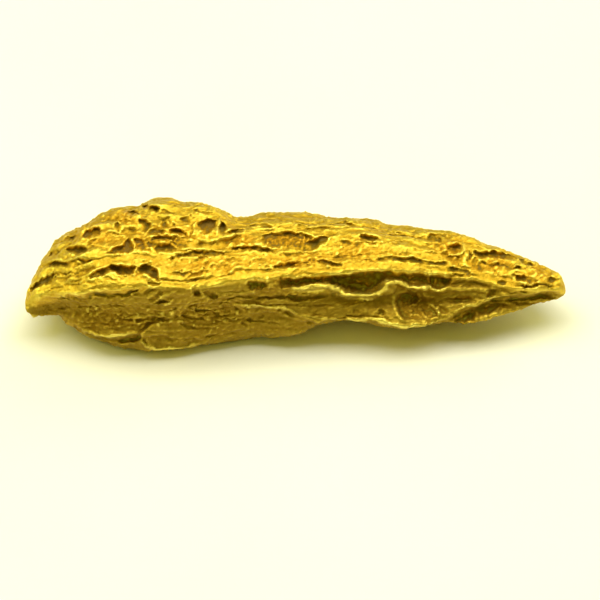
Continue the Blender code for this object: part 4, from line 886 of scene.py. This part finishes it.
def carve(skin):
    """Carves every mark into the skin, then keeps on it how deep and how crumbly it is and where it is dull;
    painted shade and painted highlights are folded into the depth and dull shares.
    """
    points = read_vectors(skin, "co")
    normals = read_vectors(skin, "normal")
    facing = normals @ SHEET_OUT
    to_front = smooth_step(-0.12, 0.16, facing)
    to_back = smooth_step(0.25, 0.7, normals[:, 1]) * (1 - to_front)
    to_sole = smooth_step(0.35, 0.8, -normals[:, 2]) * (1 - to_front)
    turned = to_front * (1 - smooth_step(0.2, 0.6, facing))
    forms, cuts, raised, floors = front_carving(points)
    crumbly = np.maximum(crumbliness(points, to_front), to_front * floors)
    under_lip = rail(LIP_FOOT, points[:, 0]) - points @ SHEET_UP
    on_cheek = to_front * smooth_step(0.0, 0.2, under_lip)
    on_lip = to_front * np.exp(-(((under_lip + BAND_RISE) / BAND_WIDTH) ** 2))

    rise = grain(points)
    rise += to_back * side_carving(points, points[:, 2], seed=4, count=34, low=0.6, high=4.4)
    rise += to_sole * side_carving(points, points[:, 1], seed=11, count=24, low=-2.6, high=2.6)
    rise += to_back * fine_side_carving(points, points[:, 2], seed=31, count=150, low=0.3, high=5.2)
    rise += to_sole * fine_side_carving(points, points[:, 1], seed=32, count=90, low=-3.0, high=2.8)
    # Worn metal has less relief: the cheek outside its crumbly patches, the lip and the rims.
    left = (1 - 0.2 * on_cheek * (1 - crumbly)) * (1 - 0.5 * on_lip) * (1 - 0.2 * to_front * raised)
    ridges, pitting, crumbs = fine_grain(points)
    pit_height = PITTING + CRUMBLY_PITTING * crumbly + TURNED_PITTING * turned
    crumb_height = CRUMB_HEIGHT * crumbly * (1 - 0.5 * on_cheek) + CHEEK_CRUMB_HEIGHT * on_cheek
    ridge_height = RIDGE_HEIGHT * (1 - 0.5 * crumbly)
    rise += left * (ridges * ridge_height + pitting * pit_height + crumbs * crumb_height)
    rise += LAYER_HEIGHT * (1 - smooth_step(-0.5, -0.12, facing)) * layers(points)
    # The front marks are carved straight into the sheet, so that none of them moves on it.
    marks = to_front * (forms + cuts)
    # The two ends stay whole and round.
    from_end = np.minimum(points[:, 0], LENGTH - points[:, 0])
    inward = smooth_step(-0.1, WHOLE_END, from_end)
    points += (inward * rise)[:, None] * normals + (inward * marks)[:, None] * SHEET_OUT
    # The sole is worn flat where it bears on the table.
    points[:, 2] = np.maximum(points[:, 2], 0.0)
    write_points(skin, points)

    mean = neighbour_mean(skin)
    new_normals = read_vectors(skin, "normal")
    near = mean(points, 5)
    wide = mean(near, 45)
    sunk_near = np.sum((near - points) * new_normals, axis=1)
    sunk_wide = np.sum((wide - points) * new_normals, axis=1)
    sunk_mark = to_front * np.maximum(-cuts, 0.0)
    # Painted shade, partly brown stain: creases and marks are darker the deeper they lie, less so on the
    # cheek.
    crease_stain_and_shade = (3.4 * sunk_near + 1.7 * sunk_wide + 0.7 * sunk_mark) * (1 - 0.6 * on_cheek)
    # Painted shade on the floors of the hollows on the upper face.
    crease_stain_and_shade += 0.13 * to_front * floors * (1 - on_cheek)
    # The lip is brighter toward the blunt end. Raised rims and crumbs get a painted highlight everywhere,
    # stronger on the cheek.
    lip_shade = (0.06 + 0.14 * smooth_step(10.0, 15.0, points[:, 0])) * on_lip
    rim_light = (0.2 + 0.25 * on_cheek) * to_front * raised
    set_share(skin, "hollow", 0.48 + crease_stain_and_shade + lip_shade - rim_light)
    set_share(skin, "crumbly", mean(crumbly[:, None], 3)[:, 0] * (1 - 0.6 * on_cheek))
    # Painted shade with a rougher finish: the cheek under the crest is painted darker as shade, and the steep
    # faces of the other sides are darker too, except on worn ridges and on raised rims and crumbs, which are
    # kept lit as a painted highlight.
    steep = 1 - smooth_step(0.1, 0.65, normals[:, 2])
    worn_and_lit = np.maximum(0.6 * smooth_step(0.008, 0.04, -sunk_near), 0.9 * raised)
    set_share(skin, "dull_and_shaded", (on_cheek + (1 - to_front) * steep) * (1 - worn_and_lit))


def place_on_frame(skin):
    """Moves the nugget from its own millimetres onto the solid's place, with its sole on the table."""
    points = read_vectors(skin, "co")
    low, high = points.min(0), points.max(0)
    solid_low, solid_high = (np.array(corner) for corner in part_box("nugget"))
    shift = (solid_low + solid_high) / 2 / MM - (low + high) / 2
    shift[2] = 0.0
    write_points(skin, (points + shift) * MM)
    return shift


def link(tree, source, target):
    tree.links.new(source, target)


def math_node(tree, operation, first, second=None, third=None, clamp=False):
    node = tree.nodes.new("ShaderNodeMath")
    node.operation = operation
    node.use_clamp = clamp
    for socket, value in zip(node.inputs, (first, second, third)):
        if value is None:
            continue
        if isinstance(value, (int, float)):
            socket.default_value = value
        else:
            link(tree, value, socket)
    return node.outputs[0]


def share_node(tree, name):
    node = tree.nodes.new("ShaderNodeAttribute")
    node.attribute_name = name
    return node.outputs["Fac"]


def noise_node(tree, place, scale, detail, roughness=0.55):
    node = tree.nodes.new("ShaderNodeTexNoise")
    node.inputs["Scale"].default_value = scale
    node.inputs["Detail"].default_value = detail
    node.inputs["Roughness"].default_value = roughness
    link(tree, place, node.inputs["Vector"])
    return node.outputs["Fac"]


def ramp_node(tree, value, stops):
    """A run of colours along a value: stops are (place, colour)."""
    node = tree.nodes.new("ShaderNodeValToRGB")
    ramp = node.color_ramp
    while len(ramp.elements) < len(stops):
        ramp.elements.new(0.5)
    for element, (place, colour) in zip(ramp.elements, stops):
        element.position = place
        element.color = (*colour, 1.0)
    link(tree, value, node.inputs["Fac"])
    return node.outputs["Color"]


def mix_node(tree, share, first, second, blend="MIX"):
    node = tree.nodes.new("ShaderNodeMix")
    node.data_type = "RGBA"
    node.blend_type = blend
    for key, value in ((0, share), (6, first), (7, second)):
        socket = node.inputs[key]
        if isinstance(value, (int, float)):
            socket.default_value = value
        elif isinstance(value, tuple):
            socket.default_value = (*value, 1.0)
        else:
            link(tree, value, socket)
    return node.outputs[2]


def native_gold():
    """Metal that is bright on worn ridges and with a painted highlight on raised rims, redder where crumbly,
    brown in creases as stain and painted shade, and darker and olive with painted shade on the cheek and the
    steep sides.
    """
    material = bpy.data.materials.new("native gold")
    material.use_nodes = True
    tree = material.node_tree
    shader = tree.nodes["Principled BSDF"]
    place = tree.nodes.new("ShaderNodeTexCoord").outputs["Object"]
    depth = share_node(tree, "hollow")
    crumbly = share_node(tree, "crumbly")
    dull_and_shaded = share_node(tree, "dull_and_shaded")
    cloud = noise_node(tree, place, scale=250.0, detail=2.0)
    mottle = noise_node(tree, place, scale=900.0, detail=3.0)
    speck = noise_node(tree, place, scale=4500.0, detail=3.0)
    glint = noise_node(tree, place, scale=11000.0, detail=2.0)

    speck_share = math_node(tree, "MULTIPLY_ADD", crumbly, 0.35, 0.25)
    specked = math_node(tree, "MULTIPLY", math_node(tree, "SUBTRACT", speck, 0.5), speck_share)
    mottled = math_node(tree, "MULTIPLY_ADD", mottle, 0.3, math_node(tree, "SUBTRACT", depth, 0.15))
    ragged = math_node(tree, "ADD", mottled, specked, clamp=True)
    by_depth = ramp_node(tree, ragged, GOLD_BY_DEPTH)
    redder = mix_node(tree, crumbly, by_depth, REDDENING, blend="MULTIPLY")
    pale_share = math_node(tree, "MULTIPLY_ADD", cloud, 1.5, -0.7, clamp=True)
    clouded = mix_node(tree, pale_share, redder, by_depth)
    # Painted shade on the cheek and steep sides, then an olive painted shade in their deepest places.
    darkened = mix_node(tree, 1.0, clouded, PAINTED_SHADE_DARKENING, blend="MULTIPLY")
    with_painted_shade = mix_node(tree, dull_and_shaded, clouded, darkened)
    deep = math_node(tree, "MULTIPLY_ADD", ragged, 3.5, -2.1, clamp=True)
    with_olive_shade = mix_node(tree, math_node(tree, "MULTIPLY", deep, dull_and_shaded, clamp=True), with_painted_shade, PAINTED_SHADE_OLIVE)
    link(tree, with_olive_shade, shader.inputs["Base Color"])

    earth = math_node(tree, "MULTIPLY_ADD", ragged, 4.0, -3.2, clamp=True)
    link(tree, math_node(tree, "MULTIPLY_ADD", earth, -0.75, 1.0), shader.inputs["Metallic"])
    rough = math_node(tree, "MULTIPLY_ADD", ragged, 0.3, math_node(tree, "MULTIPLY_ADD", dull_and_shaded, 0.15, 0.36))
    link(tree, math_node(tree, "MULTIPLY_ADD", crumbly, 0.1, rough, clamp=True), shader.inputs["Roughness"])

    bump_height = math_node(tree, "MULTIPLY_ADD", glint, 0.35, speck)
    bump = tree.nodes.new("ShaderNodeBump")
    bump.inputs["Strength"].default_value = 1.0
    bump.inputs["Distance"].default_value = 0.00006
    link(tree, bump_height, bump.inputs["Height"])
    link(tree, bump.outputs["Normal"], shader.inputs["Normal"])
    return material


def pale_table():
    material = bpy.data.materials.new("pale table")
    material.use_nodes = True
    tree = material.node_tree
    shader = tree.nodes["Principled BSDF"]
    place = tree.nodes.new("ShaderNodeTexCoord").outputs["Object"]
    cloud = noise_node(tree, place, scale=40.0, detail=2.0)
    link(tree, ramp_node(tree, cloud, TABLE_COLOURS), shader.inputs["Base Color"])
    shader.inputs["Roughness"].default_value = 0.9
    shader.inputs["Specular IOR Level"].default_value = 0.2
    return material


def make_nugget():
    skin = even_skin(nugget_loft(), SKIN_CELL, settling=4)
    carve(skin)
    shift = place_on_frame(skin)
    skin.shade_smooth()
    skin.materials.clear()
    skin.materials.append(native_gold())
    nugget = add_object("worn_nugget", skin)
    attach(nugget, "root")
    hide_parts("nugget")
    return shift


def make_table():
    shape = bmesh.new()
    bmesh.ops.create_circle(shape, cap_ends=True, segments=96, radius=1.2)
    mesh = bpy.data.meshes.new("table top")
    shape.to_mesh(mesh)
    shape.free()
    mesh.materials.append(pale_table())
    add_object("table_top", mesh)


def aim(thing, target):
    """Turns a lamp or camera to face a point."""
    toward = Vector(target) - thing.location
    thing.rotation_euler = toward.to_track_quat("-Z", "Y").to_euler()


def make_camera(shift):
    """A long lens that faces the sheet squarely, with the photograph's middle in the middle."""
    lens = bpy.data.cameras.new("camera")
    lens.lens = 300.0
    lens.sensor_width = 36.0
    lens.clip_start = 0.01
    lens.clip_end = 10.0
    camera = add_object("camera", lens)
    x, v = PHOTO_MIDDLE
    middle = np.array((x, 0.0, 0.0)) + SHEET_UP * v + SHEET_OUT * MIDDLE_OUT + shift
    distance = PHOTO_WIDTH * lens.lens / lens.sensor_width
    camera.location = Vector((middle + SHEET_OUT * distance) * MM)
    aim(camera, middle * MM)
    bpy.context.scene.camera = camera


def soft_box(name, place, width, height, power, colour, target=(0.0, 0.0, 0.0)):
    light = bpy.data.lights.new(name, "AREA")
    light.shape = "RECTANGLE"
    light.size = width
    light.size_y = height
    light.energy = power
    light.color = colour
    lamp = add_object(name, light)
    lamp.location = place
    aim(lamp, target)


def make_light():
    world = bpy.data.worlds.new("studio")
    bpy.context.scene.world = world
    world.use_nodes = True
    background = world.node_tree.nodes["Background"]
    background.inputs["Color"].default_value = (0.95, 1.0, 0.13, 1.0)
    background.inputs["Strength"].default_value = 0.12
    soft_box("key_box", (0.0, 0.055, 0.5), 0.6, 0.3, 2.75, (1.0, 0.99, 0.93))
    soft_box("front_box", (0.0, -0.3, 0.48), 0.7, 0.3, 0.6, (1.0, 0.96, 0.2))
    soft_box("back_box", (0.0, 0.7, 0.3), 1.4, 0.55, 1.0, (1.0, 0.96, 0.45))
    soft_box("left_box", (-0.5, 0.1, 0.4), 0.5, 0.5, 1.9, (1.0, 0.96, 0.4))
    soft_box("right_box", (0.45, 0.4, 0.4), 0.5, 0.5, 2.6, (1.0, 0.97, 0.5))


noise.seed_set(WANDER_SEED)
make_camera(make_nugget())
make_table()
make_light()
bpy.context.scene.view_settings.view_transform = "Standard"
